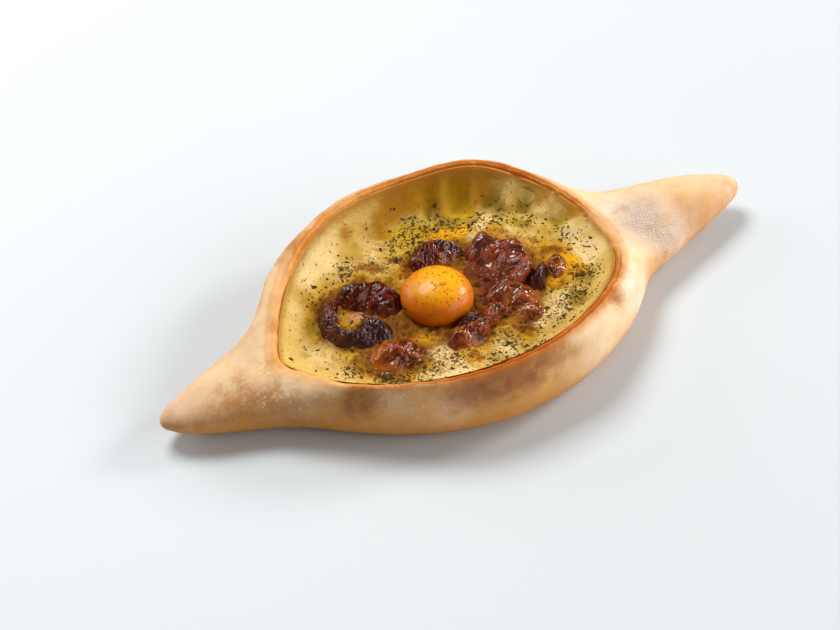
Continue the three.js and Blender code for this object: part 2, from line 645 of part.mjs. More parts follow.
function addPiece(name, geometry, colour, roughness) {
  const material = new THREE.MeshStandardMaterial({ color: colour, roughness, metalness: 0 });
  const mesh = new THREE.Mesh(geometry, material);
  mesh.name = name;
  boat.add(mesh);
}

addPiece("bread", bread(), "#d9a96c", 0.8);
addPiece("yolk", yolk(), "#f0a010", 0.25);

/** The largest of the bodies that a solid is made of. */
function mainBody(solid) {
  return solid.decompose().reduce((a, b) => (b.volume() > a.volume() ? b : a));
}

const laid = [toSolid(yolk(GAP))];
const pockets = [...laid];
SLICES.forEach((slice, number) => {
  const whole = tomatoSlice(slice, number);
  const clear = mainBody(toSolid(whole).subtract(wasm.Manifold.union(laid)));
  addPiece(slice.name, toGeometry(clear), slice.colour, 0.3);
  laid.push(toSolid(grown(whole, SLICE_GAP)));
  pockets.push(toSolid(grown(whole, SLICE_GAP, POCKET_RISE)));
});

const melt = cheeseBody();
const strewn = wasm.Manifold.union([toSolid(melt), ...herbFlakes(melt)]);
const cheese = mainBody(strewn.subtract(wasm.Manifold.union(pockets)));
addPiece("cheese", toGeometry(cheese), "#d9c06a", 0.45);

// The middle of the base is the origin.
const box = new THREE.Box3().setFromObject(boat);
const middle = box.getCenter(new THREE.Vector3());
boat.position.set(-middle.x, -middle.y, -box.min.z);
boat.updateMatrixWorld(true);

export default boat;
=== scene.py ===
"""A boat-shaped cheese bread (khachapuri): a floury baked boat, melted cheese, an egg yolk,
folded slices of roasted tomato and dried herbs. Sizes are in millimetres until a piece is
finished, when its mesh is made metres."""

import math
import random

import bmesh
import bpy
import numpy as np
from mathutils import Euler, Matrix, Vector, noise
from mathutils.bvhtree import BVHTree


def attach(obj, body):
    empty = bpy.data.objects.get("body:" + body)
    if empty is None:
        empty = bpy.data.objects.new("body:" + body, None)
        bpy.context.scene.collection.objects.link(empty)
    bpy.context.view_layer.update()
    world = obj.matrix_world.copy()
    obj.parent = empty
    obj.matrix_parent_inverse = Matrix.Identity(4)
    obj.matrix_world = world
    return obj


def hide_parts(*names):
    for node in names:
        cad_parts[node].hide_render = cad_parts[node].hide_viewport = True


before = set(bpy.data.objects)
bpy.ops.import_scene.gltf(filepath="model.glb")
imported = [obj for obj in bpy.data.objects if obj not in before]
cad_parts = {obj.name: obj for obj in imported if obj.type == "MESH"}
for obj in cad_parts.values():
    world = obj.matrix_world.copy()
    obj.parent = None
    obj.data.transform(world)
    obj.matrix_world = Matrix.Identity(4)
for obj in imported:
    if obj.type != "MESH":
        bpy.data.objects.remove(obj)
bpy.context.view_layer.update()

MM = 0.001

# ---- The camera and the light --------------------------------------------------------

CAMERA_PLACE = (-286.7, -454.1, 537.2)
CAMERA_TURN = math.radians(-29.72)  # round the bread, from the front
CAMERA_TILT = math.radians(45.05)  # above the floor
CAMERA_LENS = 67.6
SOFT_WHITE = (1.0, 0.985, 0.96)
WARM_WHITE = (1.0, 0.97, 0.93)
ROOM_LIGHT = {"colour": (1.0, 0.99, 0.97, 1), "strength": 0.14}
# Softboxes: the direction they stand in, how far off in metres, their size and their watts.
SOFTBOXES = {
    "top_softbox": ((-0.1, 0.52, 0.85), 1.8, (0.9, 0.7), 27, SOFT_WHITE),
    "left_softbox": ((-0.5, 0.8, 0.35), 1.5, (1.1, 0.8), 7, SOFT_WHITE),
    "right_softbox": ((0.92, -0.04, 0.46), 2.5, (0.6, 0.6), 34, WARM_WHITE),
    "low_softbox": ((0.93, -0.36, 0.13), 2.4, (1.3, 0.5), 9, WARM_WHITE),
    "front_softbox": ((0.66, -0.72, 0.42), 2.6, (2.6, 1.8), 40, WARM_WHITE),
}


def make_camera():
    data = bpy.data.cameras.new("camera")
    data.lens = CAMERA_LENS
    data.sensor_width = 36
    data.clip_start, data.clip_end = 0.02, 20
    camera = bpy.data.objects.new("camera", data)
    camera.location = Vector(CAMERA_PLACE) * MM
    camera.rotation_euler = (math.pi / 2 - CAMERA_TILT, 0, CAMERA_TURN)
    bpy.context.scene.collection.objects.link(camera)
    bpy.context.scene.camera = camera


def make_softbox(name, direction, distance, size, power, colour):
    """A flat light that faces the middle of the bread's base."""
    data = bpy.data.lights.new(name, "AREA")
    data.shape = "RECTANGLE"
    data.size, data.size_y = size
    data.energy = power
    data.color = colour
    light = bpy.data.objects.new(name, data)
    light.location = Vector(direction).normalized() * distance
    light.rotation_euler = (-light.location).to_track_quat("-Z", "Y").to_euler()
    bpy.context.scene.collection.objects.link(light)


def make_room():
    world = bpy.data.worlds.new("room")
    world.use_nodes = True
    sky = world.node_tree.nodes["Background"]
    sky.inputs["Color"].default_value = ROOM_LIGHT["colour"]
    sky.inputs["Strength"].default_value = ROOM_LIGHT["strength"]
    bpy.context.scene.world = world
    bpy.context.scene.view_settings.view_transform = "Standard"
    for name, settings in SOFTBOXES.items():
        make_softbox(name, *settings)


# ---- Small helpers -------------------------------------------------------------------


def smoothstep(values, low, high):
    """0 up to `low`, 1 from `high`, and an even curve between them."""
    share = np.clip((values - low) / (high - low), 0, 1)
    return share * share * (3 - 2 * share)


def lerp(a, b, share):
    """The value that lies that share of the way from a to b."""
    return a + (b - a) * share


SEED_SHIFT = (17.3, -9.1, 5.7)  # lumps apart, so that each seed has its own part of the noise


def ripple(points, scale, seed):
    """Smooth random values, about -1 to 1, over points in mm, with lumps of that scale."""
    shift = Vector([step * seed for step in SEED_SHIFT])
    return np.array([noise.noise(Vector(p) / scale + shift) for p in points])


def covered(points, spots):
    """How far soft round spots, each (place, radius, strength), cover the points, 0 to 1."""
    total = np.zeros(len(points))
    for place, radius, strength in spots:
        away = ((points[:, : len(place)] - np.array(place)) ** 2).sum(1) / radius**2
        total += strength * np.exp(-away)
    return np.clip(total, 0, 1)


def new_piece(name, bm):
    """An object from a bmesh in mm, with its mesh left in mm for more shaping."""
    mesh = bpy.data.meshes.new(name)
    bm.to_mesh(mesh)
    bm.free()
    piece = bpy.data.objects.new(name, mesh)
    bpy.context.scene.collection.objects.link(piece)
    return piece


MERGED_WITHIN = 1e-3
PAIRED_ANGLE = math.radians(50)  # triangles that meet flatter than this are made quads


def copy_of(node):
    """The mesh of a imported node, in mm, with its loose triangles merged and paired."""
    bm = bmesh.new()
    bm.from_mesh(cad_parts[node].data)
    bmesh.ops.scale(bm, verts=bm.verts, vec=(1 / MM,) * 3)
    bmesh.ops.remove_doubles(bm, verts=bm.verts, dist=MERGED_WITHIN)
    bmesh.ops.join_triangles(
        bm,
        faces=bm.faces,
        angle_face_threshold=PAIRED_ANGLE,
        angle_shape_threshold=PAIRED_ANGLE,
    )
    return bm


def close_up(piece, within):
    """Merges the seam and the poles of a bent grid, and turns its faces outwards."""
    bm = bmesh.new()
    bm.from_mesh(piece.data)
    bmesh.ops.remove_doubles(bm, verts=bm.verts, dist=within)
    bmesh.ops.recalc_face_normals(bm, faces=bm.faces)
    bm.to_mesh(piece.data)
    bm.free()


def refine(piece, levels):
    """Rounds a piece's mesh by subdivision, and keeps the result."""
    smooth = piece.modifiers.new("rounding", "SUBSURF")
    smooth.levels = smooth.render_levels = levels
    ready = piece.evaluated_get(bpy.context.evaluated_depsgraph_get())
    mesh = bpy.data.meshes.new_from_object(ready)
    piece.modifiers.clear()
    piece.data = mesh


def places(piece):
    """Where a piece's vertices are, one row each."""
    co = np.zeros(len(piece.data.vertices) * 3)
    piece.data.vertices.foreach_get("co", co)
    return co.reshape(-1, 3)


def facings(piece):
    """Which way a piece's vertices face, one row each."""
    no = np.zeros(len(piece.data.vertices) * 3, np.float32)
    piece.data.vertex_normals.foreach_get("vector", no)
    return no.reshape(-1, 3).astype(float)


def move_to(piece, points):
    piece.data.vertices.foreach_set("co", np.ascontiguousarray(points).ravel())
    piece.data.update()


def mark(piece, name, values):
    """Keeps one value per vertex with the mesh, for the material to read."""
    layer = piece.data.attributes.new(name, "FLOAT", "POINT")
    layer.data.foreach_set("value", np.asarray(values, np.float32))


def finish_piece(piece, material, nodes=()):
    """Makes the mesh metres, smooths and paints it, and sets it on the bread."""
    piece.data.transform(Matrix.Scale(MM, 4))
    piece.data.shade_smooth()
    piece.data.materials.clear()
    piece.data.materials.append(material)
    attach(piece, "root")
    if nodes:
        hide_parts(*nodes)
    return piece


# ---- Materials -----------------------------------------------------------------------


class Value:
    """A node's output, for shader maths written as plain expressions."""

    def __init__(self, finish, socket):
        self.finish = finish
        self.socket = socket

    def maths(self, operation, first, second=0.0):
        return self.finish.node("ShaderNodeMath", {"operation": operation}, {0: first, 1: second})

    def __add__(self, other):
        return self.maths("ADD", self, other)

    def __sub__(self, other):
        return self.maths("SUBTRACT", self, other)

    def __rsub__(self, other):
        return self.maths("SUBTRACT", other, self)

    def __mul__(self, other):
        return self.maths("MULTIPLY", self, other)

    def __abs__(self):
        return self.maths("ABSOLUTE", self)

    __radd__ = __add__
    __rmul__ = __mul__


class Finish:
    """One surface finish: a material, its colour so far and its few kinds of node."""

    def __init__(self, name, ground, **constants):
        self.material = bpy.data.materials.new(name)
        self.material.use_nodes = True
        self.tree = self.material.node_tree
        self.shader = self.tree.nodes["Principled BSDF"]
        for key, value in constants.items():
            self.shader.inputs[key.replace("_", " ")].default_value = value
        self.place = self.node("ShaderNodeTexCoord", output="Object")
        self.colour = ground

    def node(self, kind, settings=None, inputs=None, output=0):
        node = self.tree.nodes.new(kind)
        for key, value in (settings or {}).items():
            setattr(node, key, value)
        for key, value in (inputs or {}).items():
            self.feed(node.inputs[key], value)
        return Value(self, node.outputs[output])

    def feed(self, socket, value):
        if isinstance(value, Value):
            self.tree.links.new(value.socket, socket)
        elif isinstance(value, tuple) and len(value) == 3 and socket.type == "RGBA":
            socket.default_value = (*value, 1)
        else:
            socket.default_value = value

    def noise(self, size, detail=2.0, roughness=0.5, distortion=0.0):
        """Cloudy values from 0 to 1 with lumps about `size` mm across."""
        inputs = {"Vector": self.place, "Scale": 1 / (size * MM), "Detail": detail}
        inputs.update({"Roughness": roughness, "Distortion": distortion})
        return self.node("ShaderNodeTexNoise", None, inputs)

    def from_cracks(self, size):
        """How far a place is from the cracks between cells of about `size` mm."""
        inputs = {"Vector": self.place, "Scale": 1 / (size * MM)}
        return self.node("ShaderNodeTexVoronoi", {"feature": "DISTANCE_TO_EDGE"}, inputs)

    def step(self, value, low, high, start=0.0, end=1.0):
        """A smooth step of a value, from `start` at `low` to `end` at `high`."""
        inputs = {"Value": value, "From Min": low, "From Max": high, "To Min": start, "To Max": end}
        return self.node("ShaderNodeMapRange", {"interpolation_type": "SMOOTHSTEP"}, inputs)

    def paint(self, share, colour):
        """Lays a colour over what is painted so far, by a share from 0 to 1."""
        inputs = {0: share, 6: self.colour, 7: colour}
        self.colour = self.node("ShaderNodeMix", {"data_type": "RGBA"}, inputs, 2)

    def kept(self, name):
        """A value that the mesh keeps for each vertex."""
        return self.node("ShaderNodeAttribute", {"attribute_name": name}, output="Fac")

    def height(self):
        """Height over the floor, in metres."""
        return self.node("ShaderNodeSeparateXYZ", None, {"Vector": self.place}, "Z")

    def bump(self, height, depth, strength=1.0, below=None):
        """Relief of `depth` mm. Further relief is laid over what is `below`."""
        inputs = {"Strength": strength, "Distance": depth * MM, "Height": height}
        if below:
            inputs["Normal"] = below
        return self.node("ShaderNodeBump", None, inputs, "Normal")

    def done(self, **values):
        """Feeds the painted colour and these values to the surface."""
        for key, value in {"Base_Color": self.colour, **values}.items():
            self.feed(self.shader.inputs[key.replace("_", " ")], value)
        return self.material


# Colours of the crust.
CREAM = (0.83, 0.59, 0.34)
# Painted shade on the crust's sides.
SIDE_SHADE_TAN = (0.72, 0.37, 0.115)
# Painted warm reflected light and shade low on the walls.
LOW_WALL_BOUNCE_SHADE = (0.57, 0.215, 0.022)
BISCUIT = (0.60, 0.31, 0.12)
BROWN_SPOT = (0.46, 0.195, 0.045)
DARK_SPOT = (0.27, 0.078, 0.012)
TOASTED_LIP = (0.48, 0.14, 0.018)
PALE_LIP = (0.78, 0.36, 0.105)
ORANGE_BAND = (0.76, 0.31, 0.035)
RED_BAND = (0.46, 0.10, 0.006)
OUTER_LINE = (0.30, 0.06, 0.004)
INNER_LINE = (0.25, 0.05, 0.004)
INNER_WALL = (0.60, 0.28, 0.06)
FLOUR = (0.88, 0.75, 0.62)
DARK_GRAIN = (0.42, 0.21, 0.09)
CREASED_DOUGH = (0.42, 0.30, 0.27)


def crust_finish():
    constants = {"Specular_IOR_Level": 0.05, "Subsurface_Scale": 0.003, "Subsurface_Weight": 0.06}
    crust = Finish("floury_crust", CREAM, **constants)
    clouds = crust.noise(34, 3, 0.55)
    mottle = crust.noise(7, 4, 0.6)
    grain = crust.noise(0.9, 3, 0.6)
    specks = crust.noise(1.5, 2, 0.7)
    # The dough: painted shade down the sides, darker the more a face turns from facing up, and painted
    # warm reflected light and shade near the floor, with browned spots.
    painted_side_shade = crust.kept("painted_side_shade") + (clouds - 0.5) * 0.9
    crust.paint(crust.step(painted_side_shade, 0.1, 0.75), SIDE_SHADE_TAN)
    # Painted warm reflected light and shade: the walls darker and warmer towards the floor.
    low = crust.step(crust.height() + (clouds - 0.5) * 0.02, 0.029, 0.006)
    crust.paint(low * 0.9, LOW_WALL_BOUNCE_SHADE)
    crust.paint(crust.step(mottle, 0.42, 0.75) * 0.35, BISCUIT)
    browned = crust.kept("browned")
    dapple = (mottle - 0.5) * 0.9 + (clouds - 0.5) * 0.5 + (specks - 0.5) * 0.5
    browned = browned + dapple * crust.step(browned, 0, 0.3)
    crust.paint(crust.step(browned, 0.1, 0.7) * 0.82, BROWN_SPOT)
    crust.paint(crust.step(browned, 0.5, 1.1) * 0.9, DARK_SPOT)
    # The baked edge: a toasted outer lip, two thin dark lines and an orange band.
    toasted = crust.kept("toasted")
    fray = crust.noise(1.4, 3, 0.7) - 0.5
    from_rim = crust.kept("from_rim") + (mottle - 0.5) * 2.4 + fray * 1.8
    lip = crust.step(from_rim, -6.5, -0.6) * crust.step(from_rim, 3.6, 2.6)
    crust.paint(lip * toasted * 0.85, TOASTED_LIP)
    outer = crust.step(from_rim, -4.6, -3.0) * crust.step(from_rim, 0.6, -0.2)
    crust.paint(outer * (0.6 - browned * 0.6) * (1 - toasted * 0.9), PALE_LIP)
    band = crust.step(from_rim, -0.2, 0.8)
    crust.paint(band * (toasted * 0.3 + 0.62), ORANGE_BAND)
    flaky = crust.step(crust.noise(2.8, 3, 0.65) + toasted * 0.16, 0.38, 0.62)
    crust.paint(band * toasted * flaky, RED_BAND)
    line = crust.step(from_rim, -1.0, -0.2) * crust.step(from_rim, 1.2, 0.4)
    crust.paint(line * (toasted * 0.8 + 0.1), OUTER_LINE)
    second = crust.step(from_rim, 1.7, 2.3) * crust.step(from_rim, 3.4, 2.8)
    crust.paint(second * (toasted * 0.7 + 0.1), INNER_LINE)
    crust.paint(crust.step(from_rim, 3.6, 4.4), INNER_WALL)
    # Flour: a thin veil and white grains.
    dusty = crust.kept("floury") * crust.step(crust.noise(8, 3, 0.65), 0.15, 0.6)
    veil = dusty * crust.step(from_rim, -1.5, -5.0) * 0.75
    grains = crust.step(crust.noise(1.1, 1), 0.64, 0.70) * crust.kept("grainy")
    crust.paint(veil + grains * 0.8, FLOUR)
    crust.paint(crust.step(grain, 0.3, 0.75) * 0.12, DARK_GRAIN)
    wrinkled = crust.kept("wrinkled")
    creases = crust.step(crust.from_cracks(1.25), 0.0, 0.25)
    crust.paint(wrinkled * (1 - creases) * 0.35 + wrinkled * 0.2, CREASED_DOUGH)
    relief = crust.bump(creases, 0.35, wrinkled)
    relief = crust.bump(mottle, 0.5, 0.35, relief)
    relief = crust.bump(grain, 0.12, 0.6, relief)
    return crust.done(Roughness=0.8 - browned * 0.12, Normal=relief)


# Colours of the cheese.
CURD = (0.63, 0.43, 0.135)
BUTTER = (0.46, 0.285, 0.045)
OCHRE = (0.40, 0.22, 0.022)
WALL_FILM = (0.71, 0.46, 0.125)
# Painted shade in the hollows of the wall's folds, and painted light on their ridges.
FOLD_PAINTED_SHADE = (0.25, 0.17, 0.012)
FOLD_PAINTED_LIGHT = (0.84, 0.61, 0.22)
OLD_GOLD = (0.40, 0.175, 0.002)
OIL = (0.55, 0.345, 0.014)
AMBER_EDGE = (0.52, 0.27, 0.010)
AMBER_MIDDLE = (0.30, 0.11, 0.003)
# Painted shade round the slices and the yolk, laid in with the juice.
AMBER_DEEP_SHADE = (0.16, 0.040, 0.004)
MELTED_SKIN = (0.12, 0.020, 0.006)
WARM_ORANGE = (0.78, 0.36, 0.006)
PINK = (0.60, 0.23, 0.10)
WHITE_CURD = (0.85, 0.63, 0.28)
TOASTED_CURD = (0.42, 0.155, 0.014)
SINGED_CURD = (0.16, 0.05, 0.008)
CRUMB = (0.22, 0.11, 0.018)
WALL_DOT = (0.34, 0.13, 0.018)
OLIVE = (0.30, 0.185, 0.016)
BAKED_EDGE = (0.44, 0.18, 0.025)


def cheese_finish():
    constants = {"Specular_IOR_Level": 0.05, "Subsurface_Scale": 0.003, "Subsurface_Weight": 0.08}
    cheese = Finish("melted_cheese", CURD, Coat_Roughness=0.12, **constants)
    soft = cheese.noise(13, 3, 0.55)
    fine = cheese.noise(2.4, 4, 0.65)
    dots = cheese.noise(2.6, 2, 0.5)
    crumbs = cheese.noise(1.2, 2, 0.6)
    uneven = (soft - 0.5) * 1.1 + (fine - 0.5) * 0.8
    cheese.paint(cheese.step(soft, 0.38, 0.64), BUTTER)
    tinge = cheese.step(cheese.noise(5, 3, 0.6), 0.5, 0.72)
    cheese.paint(tinge * 0.55, OCHRE)
    # The film on the wall, with its folds: painted shade in the folds' hollows and painted light on
    # their ridges.
    cheese.paint(cheese.step(cheese.kept("wall") + uneven * 0.9, 0.1, 0.9) * 0.8, WALL_FILM)
    hollow = cheese.step(cheese.kept("hollow") + uneven * 0.2, 0.4, 0.85)
    cheese.paint(hollow * 0.85, FOLD_PAINTED_SHADE)
    ridged = cheese.step(cheese.kept("ridged") + uneven * 0.2, 0.45, 0.9)
    cheese.paint(ridged * 0.7, FOLD_PAINTED_LIGHT)
    cheese.paint(cheese.step(cheese.kept("golden") + uneven * 0.7, 0.15, 0.8) * 0.92, OLD_GOLD)
    # Oil, and the juice that the tomatoes leave round them, with painted shade laid in with the juice,
    # darkest close to the slices and the yolk.
    oily = cheese.kept("oily")
    cheese.paint(cheese.step(oily + uneven, 0.15, 0.85) * 0.85, OIL)
    amber = cheese.kept("amber")
    cheese.paint(cheese.step(amber + uneven * 0.8, 0.04, 0.5) * 0.85, AMBER_EDGE)
    cheese.paint(cheese.step(amber + uneven * 1.3, 0.35, 0.95) * 0.92, AMBER_MIDDLE)
    # Painted shade, darkest close to the slices and the yolk.
    deepest_shade = cheese.step(amber + uneven * 0.5 + (fine - 0.5) * 1.0, 0.6, 1.1)
    cheese.paint(deepest_shade * 0.85, AMBER_DEEP_SHADE)
    skin = cheese.kept("skin")
    cheese.paint(cheese.step(skin + (fine - 0.5) * 0.7, 0.2, 0.7) * 0.92, MELTED_SKIN)
    cheese.paint(cheese.step(cheese.kept("orange") + uneven * 0.6, 0.15, 0.95) * 0.9, WARM_ORANGE)
    cheese.paint(cheese.step(cheese.kept("pink") + uneven * 0.3, 0.3, 0.8), PINK)
    # Curds, white or browned, and crumbs.
    cheese.paint(cheese.step(cheese.kept("white") + uneven * 0.7, 0.25, 0.8) * 0.9, WHITE_CURD)
    browned = cheese.kept("browned")
    cheese.paint(cheese.step(browned + uneven * 1.5, 0.3, 0.95) * 0.8, TOASTED_CURD)
    cheese.paint(cheese.step(browned + (fine - 0.5) * 1.6, 0.62, 1.1) * 0.85, SINGED_CURD)
    busy = cheese.kept("busy")
    crumbed = cheese.step(crumbs + busy * 0.10, 0.60, 0.69)
    cheese.paint(crumbed * (busy * 0.6 + 0.3) * (1 - skin), CRUMB)
    dotted = cheese.step(dots, 0.64, 0.70) * cheese.kept("speckled")
    cheese.paint(dotted * 0.75, WALL_DOT)
    cheese.paint(cheese.step(cheese.kept("olive") + uneven * 0.7, 0.2, 0.8) * 0.85, OLIVE)
    edge = cheese.step(cheese.kept("from_rim") + (fine - 0.5) * 3, 6.4, 3.2)
    cheese.paint(edge * 0.85, BAKED_EDGE)
    relief = cheese.bump(soft, 0.8, 0.35)
    relief = cheese.bump(fine, 0.5, busy * 0.5 + 0.25, relief)
    rough = cheese.step(oily + amber, 0, 1, 0.5, 0.38)
    wet = cheese.step(skin, 0.3, 1.0, 0, 0.2)
    return cheese.done(Roughness=rough, Coat_Weight=wet, Normal=relief)


# Colours of the yolk, with painted shade at its foot and painted light at its crown.
YOLK_SHADED_FOOT = (0.58, 0.13, 0.001)
YOLK_SIDE = (0.64, 0.165, 0.001)
YOLK_LIT_CROWN = (0.90, 0.44, 0.008)
YOLK_STAIN = (0.52, 0.115, 0.003)


def yolk_finish():
    constants = {"Specular_IOR_Level": 0.27, "Subsurface_Scale": 0.003, "Subsurface_Weight": 0.08}
    yolk = Finish("egg_yolk", YOLK_SHADED_FOOT, **constants)
    film = yolk.noise(6, 3, 0.55)
    # Painted shade and light: darker and redder at the foot, lighter towards the crown.
    yolk.paint(yolk.step(yolk.height() + (film - 0.5) * 0.004, 0.018, 0.035), YOLK_SIDE)
    lit_crown = yolk.step(yolk.height() + (film - 0.5) * 0.003, 0.031, 0.0375)
    yolk.paint(lit_crown * 0.8, YOLK_LIT_CROWN)
    stains = yolk.step(yolk.noise(3.6, 3, 0.6), 0.54, 0.72)
    yolk.paint(stains * 0.6, YOLK_STAIN)
    relief = yolk.bump(yolk.noise(2.2, 3, 0.6), 0.3, 0.35)
    return yolk.done(Roughness=0.29, Normal=relief)


# Colours of the roasted tomatoes.
BURGUNDY = (0.16, 0.017, 0.005)
MAROON = (0.33, 0.062, 0.026)
RED_BROWN = (0.29, 0.046, 0.010)
RUSSET = (0.38, 0.075, 0.016)
AMBER = (0.40, 0.11, 0.003)
RUST = (0.30, 0.075, 0.010)
SOOT = (0.040, 0.009, 0.011)
CREASE_SHADE = 0.22  # painted shade: how bright the skin is painted deep in its creases


def tomato_finish(name, skin, glow, gloss):
    """Roasted tomato skin: painted shade in its creases, glowing at thin edges, charred in places."""
    constants = {"Specular_IOR_Level": gloss, "Subsurface_Scale": 0.002, "Subsurface_Weight": 0.05}
    tomato = Finish(name, tuple(CREASE_SHADE * part for part in skin), **constants)
    blotch = tomato.noise(4.5, 3, 0.6)
    crinkle = abs(tomato.noise(1.6, 1, 0.5, 0.6) - 0.5)
    # Painted shade: the skin's own colour on the ridges, darker down in the creases.
    tomato.paint(tomato.step(tomato.kept("ridge"), 0.1, 0.75), skin)
    thin = tomato.kept("thin") + (blotch - 0.5) * 0.8
    tomato.paint(tomato.step(thin, 0.3, 0.95) * 0.92, glow)
    burnt = tomato.kept("burnt") + (blotch - 0.5) * 0.7
    tomato.paint(tomato.step(burnt, 0.3, 0.85) * 0.92, SOOT)
    rough = tomato.step(burnt, 0.2, 0.8, 0.1, 0.2)
    return tomato.done(Roughness=rough, Normal=tomato.bump(crinkle, 0.9, 0.22))


# Colours of the herbs.
DARK_LEAF = (0.048, 0.030, 0.007)
DRY_LEAF = (0.16, 0.105, 0.021)
RED_LEAF = (0.12, 0.04, 0.006)


def herb_finish():
    herb = Finish("dried_herb", DARK_LEAF, Roughness=0.8, Specular_IOR_Level=0.15)
    herb.paint(herb.step(herb.noise(2.2, 1), 0.3, 0.7), DRY_LEAF)
    herb.paint(herb.step(herb.noise(3.1, 1), 0.45, 0.7) * 0.65, RED_LEAF)
    return herb.done(Normal=herb.bump(herb.noise(0.5, 2), 0.12, 0.6))


# ---- The rim and the level of the cheese ---------------------------------------------

OPENING_X = -14
OPENING_HALF_LENGTH = {"right": 88.5, "left": 91}
OPENING_HALF_WIDTH = 66
CORNER_SHARPNESS = {"left_back": 1.65, "left_front": 1.28, "right_back": 0.62, "right_front": 1.14}
CORNER_SHIFT = -5.5  # the left corner lies this far to the front
RIM_HEIGHT = {"corner": 27.5, "side": 39}
RIM_CREST = {"angle": 57, "spread": 18, "height": 6}
RIM_WIDTH = 3
RIM_FALL = 0.7  # the inner edge of the rim is this much lower
POOL_HEIGHT = 20
FILM_REACH = 18
FILM_TOP = 1.2  # the top of the film of cheese is this far below the rim
CHEESE_BASE = 10

# Lumps in the cheese: place, radius, height.
LUMPS = [
    ((-14, -6), 42, 2.5),
    ((-32, -47), 10, 4.2),
    ((-24, -41), 7, 2.4),
    ((27, -37), 10, 3.6),
    ((36, -30), 7, 2.6),
    ((26, 35), 6, 3.2),
    ((20, 25), 6, 2.8),
    ((-73, -22), 7, 1.8),
    ((-42, 29), 9, 2.4),
    ((-27, 26), 5, 2),
    ((50, -14), 9, 1.8),
    ((8, 33), 7, 1.4),
    ((-58, 3), 5.5, 3.2),
]
RIPPLES = [(0.6, 23), (0.4, 11)]  # depth, wavelength
WALL_FOLDS = {"from": 0.05, "to": 1.25, "fade": 0.1, "spacing": 0.24, "depth": 2.4}


def rim_line():
    """The rim's outer edge as direction from the middle of the opening, distance and height."""
    theta = np.linspace(0, 2 * math.pi, 1440, endpoint=False)
    c, s = np.cos(theta), np.sin(theta)
    left, back = (1 - c) / 2, (1 + s) / 2
    sharp = CORNER_SHARPNESS
    power = left * lerp(sharp["left_front"], sharp["left_back"], back)
    power += (1 - left) * lerp(sharp["right_front"], sharp["right_back"], back)
    x = np.where(c > 0, OPENING_HALF_LENGTH["right"], OPENING_HALF_LENGTH["left"]) * c
    y = OPENING_HALF_WIDTH * np.sign(s) * np.abs(s) ** power + CORNER_SHIFT * left**6
    z = lerp(RIM_HEIGHT["corner"], RIM_HEIGHT["side"], np.abs(s) ** 1.5)
    from_crest = (np.degrees(theta) - RIM_CREST["angle"]) / RIM_CREST["spread"]
    z += RIM_CREST["height"] * np.exp(-(from_crest**2))
    return np.arctan2(y, x), np.hypot(x, y), z


RIM_DIRECTIONS, RIM_REACH, RIM_LEVEL = rim_line()


def rim_towards(direction):
    """Distance and height of the rim's outer edge in a direction."""
    reach = np.interp(direction, RIM_DIRECTIONS, RIM_REACH, period=2 * math.pi)
    level = np.interp(direction, RIM_DIRECTIONS, RIM_LEVEL, period=2 * math.pi)
    return reach, level


def unevenness(x, y, scale, phase):
    """Gentle swells, -1 to 1, from three waves of about that length in mm."""
    k = 2 * math.pi / scale
    return (
        np.sin(k * (x + 0.31 * y) + phase)
        + np.sin(k * (0.83 * y - 0.52 * x) + 1.7 * phase + 1.3)
        + np.sin(k * (0.61 * x + 1.27 * y) + 2.3 * phase + 4.1)
    ) / 3


def wall_folds(direction):
    """Where the wall of cheese is folded, 0 to 1, and how far into a hollow of its folds."""
    fade, folds = WALL_FOLDS["fade"], WALL_FOLDS
    here = smoothstep(direction, folds["from"] - fade, folds["from"] + fade)
    here -= smoothstep(direction, folds["to"] - fade, folds["to"] + fade)
    return here, 0.5 + 0.5 * np.cos(2 * math.pi * direction / folds["spacing"])


def cheese_level(x, y):
    """Height of the cheese: a pool that climbs the wall as a film, with lumps and folds."""
    direction = np.arctan2(y, x - OPENING_X)
    reach, level = rim_towards(direction)
    inset = reach - RIM_WIDTH - np.hypot(x - OPENING_X, y)
    climb = np.clip(1 - inset / FILM_REACH, 0, 1)
    z = lerp(POOL_HEIGHT, level - RIM_FALL - FILM_TOP, climb**2)
    here, wave = wall_folds(direction)
    z -= here * wave * WALL_FOLDS["depth"] * np.sin(math.pi * climb) ** 2
    for (lump_x, lump_y), radius, height in LUMPS:
        away = np.hypot(x - lump_x, y - lump_y) / radius
        z += height * np.exp(-1.6 * away**2) * (1 - climb)
    for i, (depth, wavelength) in enumerate(RIPPLES):
        z += (1 - climb) * depth * unevenness(x, y, wavelength, i + 1)
    return z


# ---- Where the yolk and the slices of tomato lie -------------------------------------

YOLK_PLACE = (-20.8, -4.2)
YOLK_RADIUS = 17

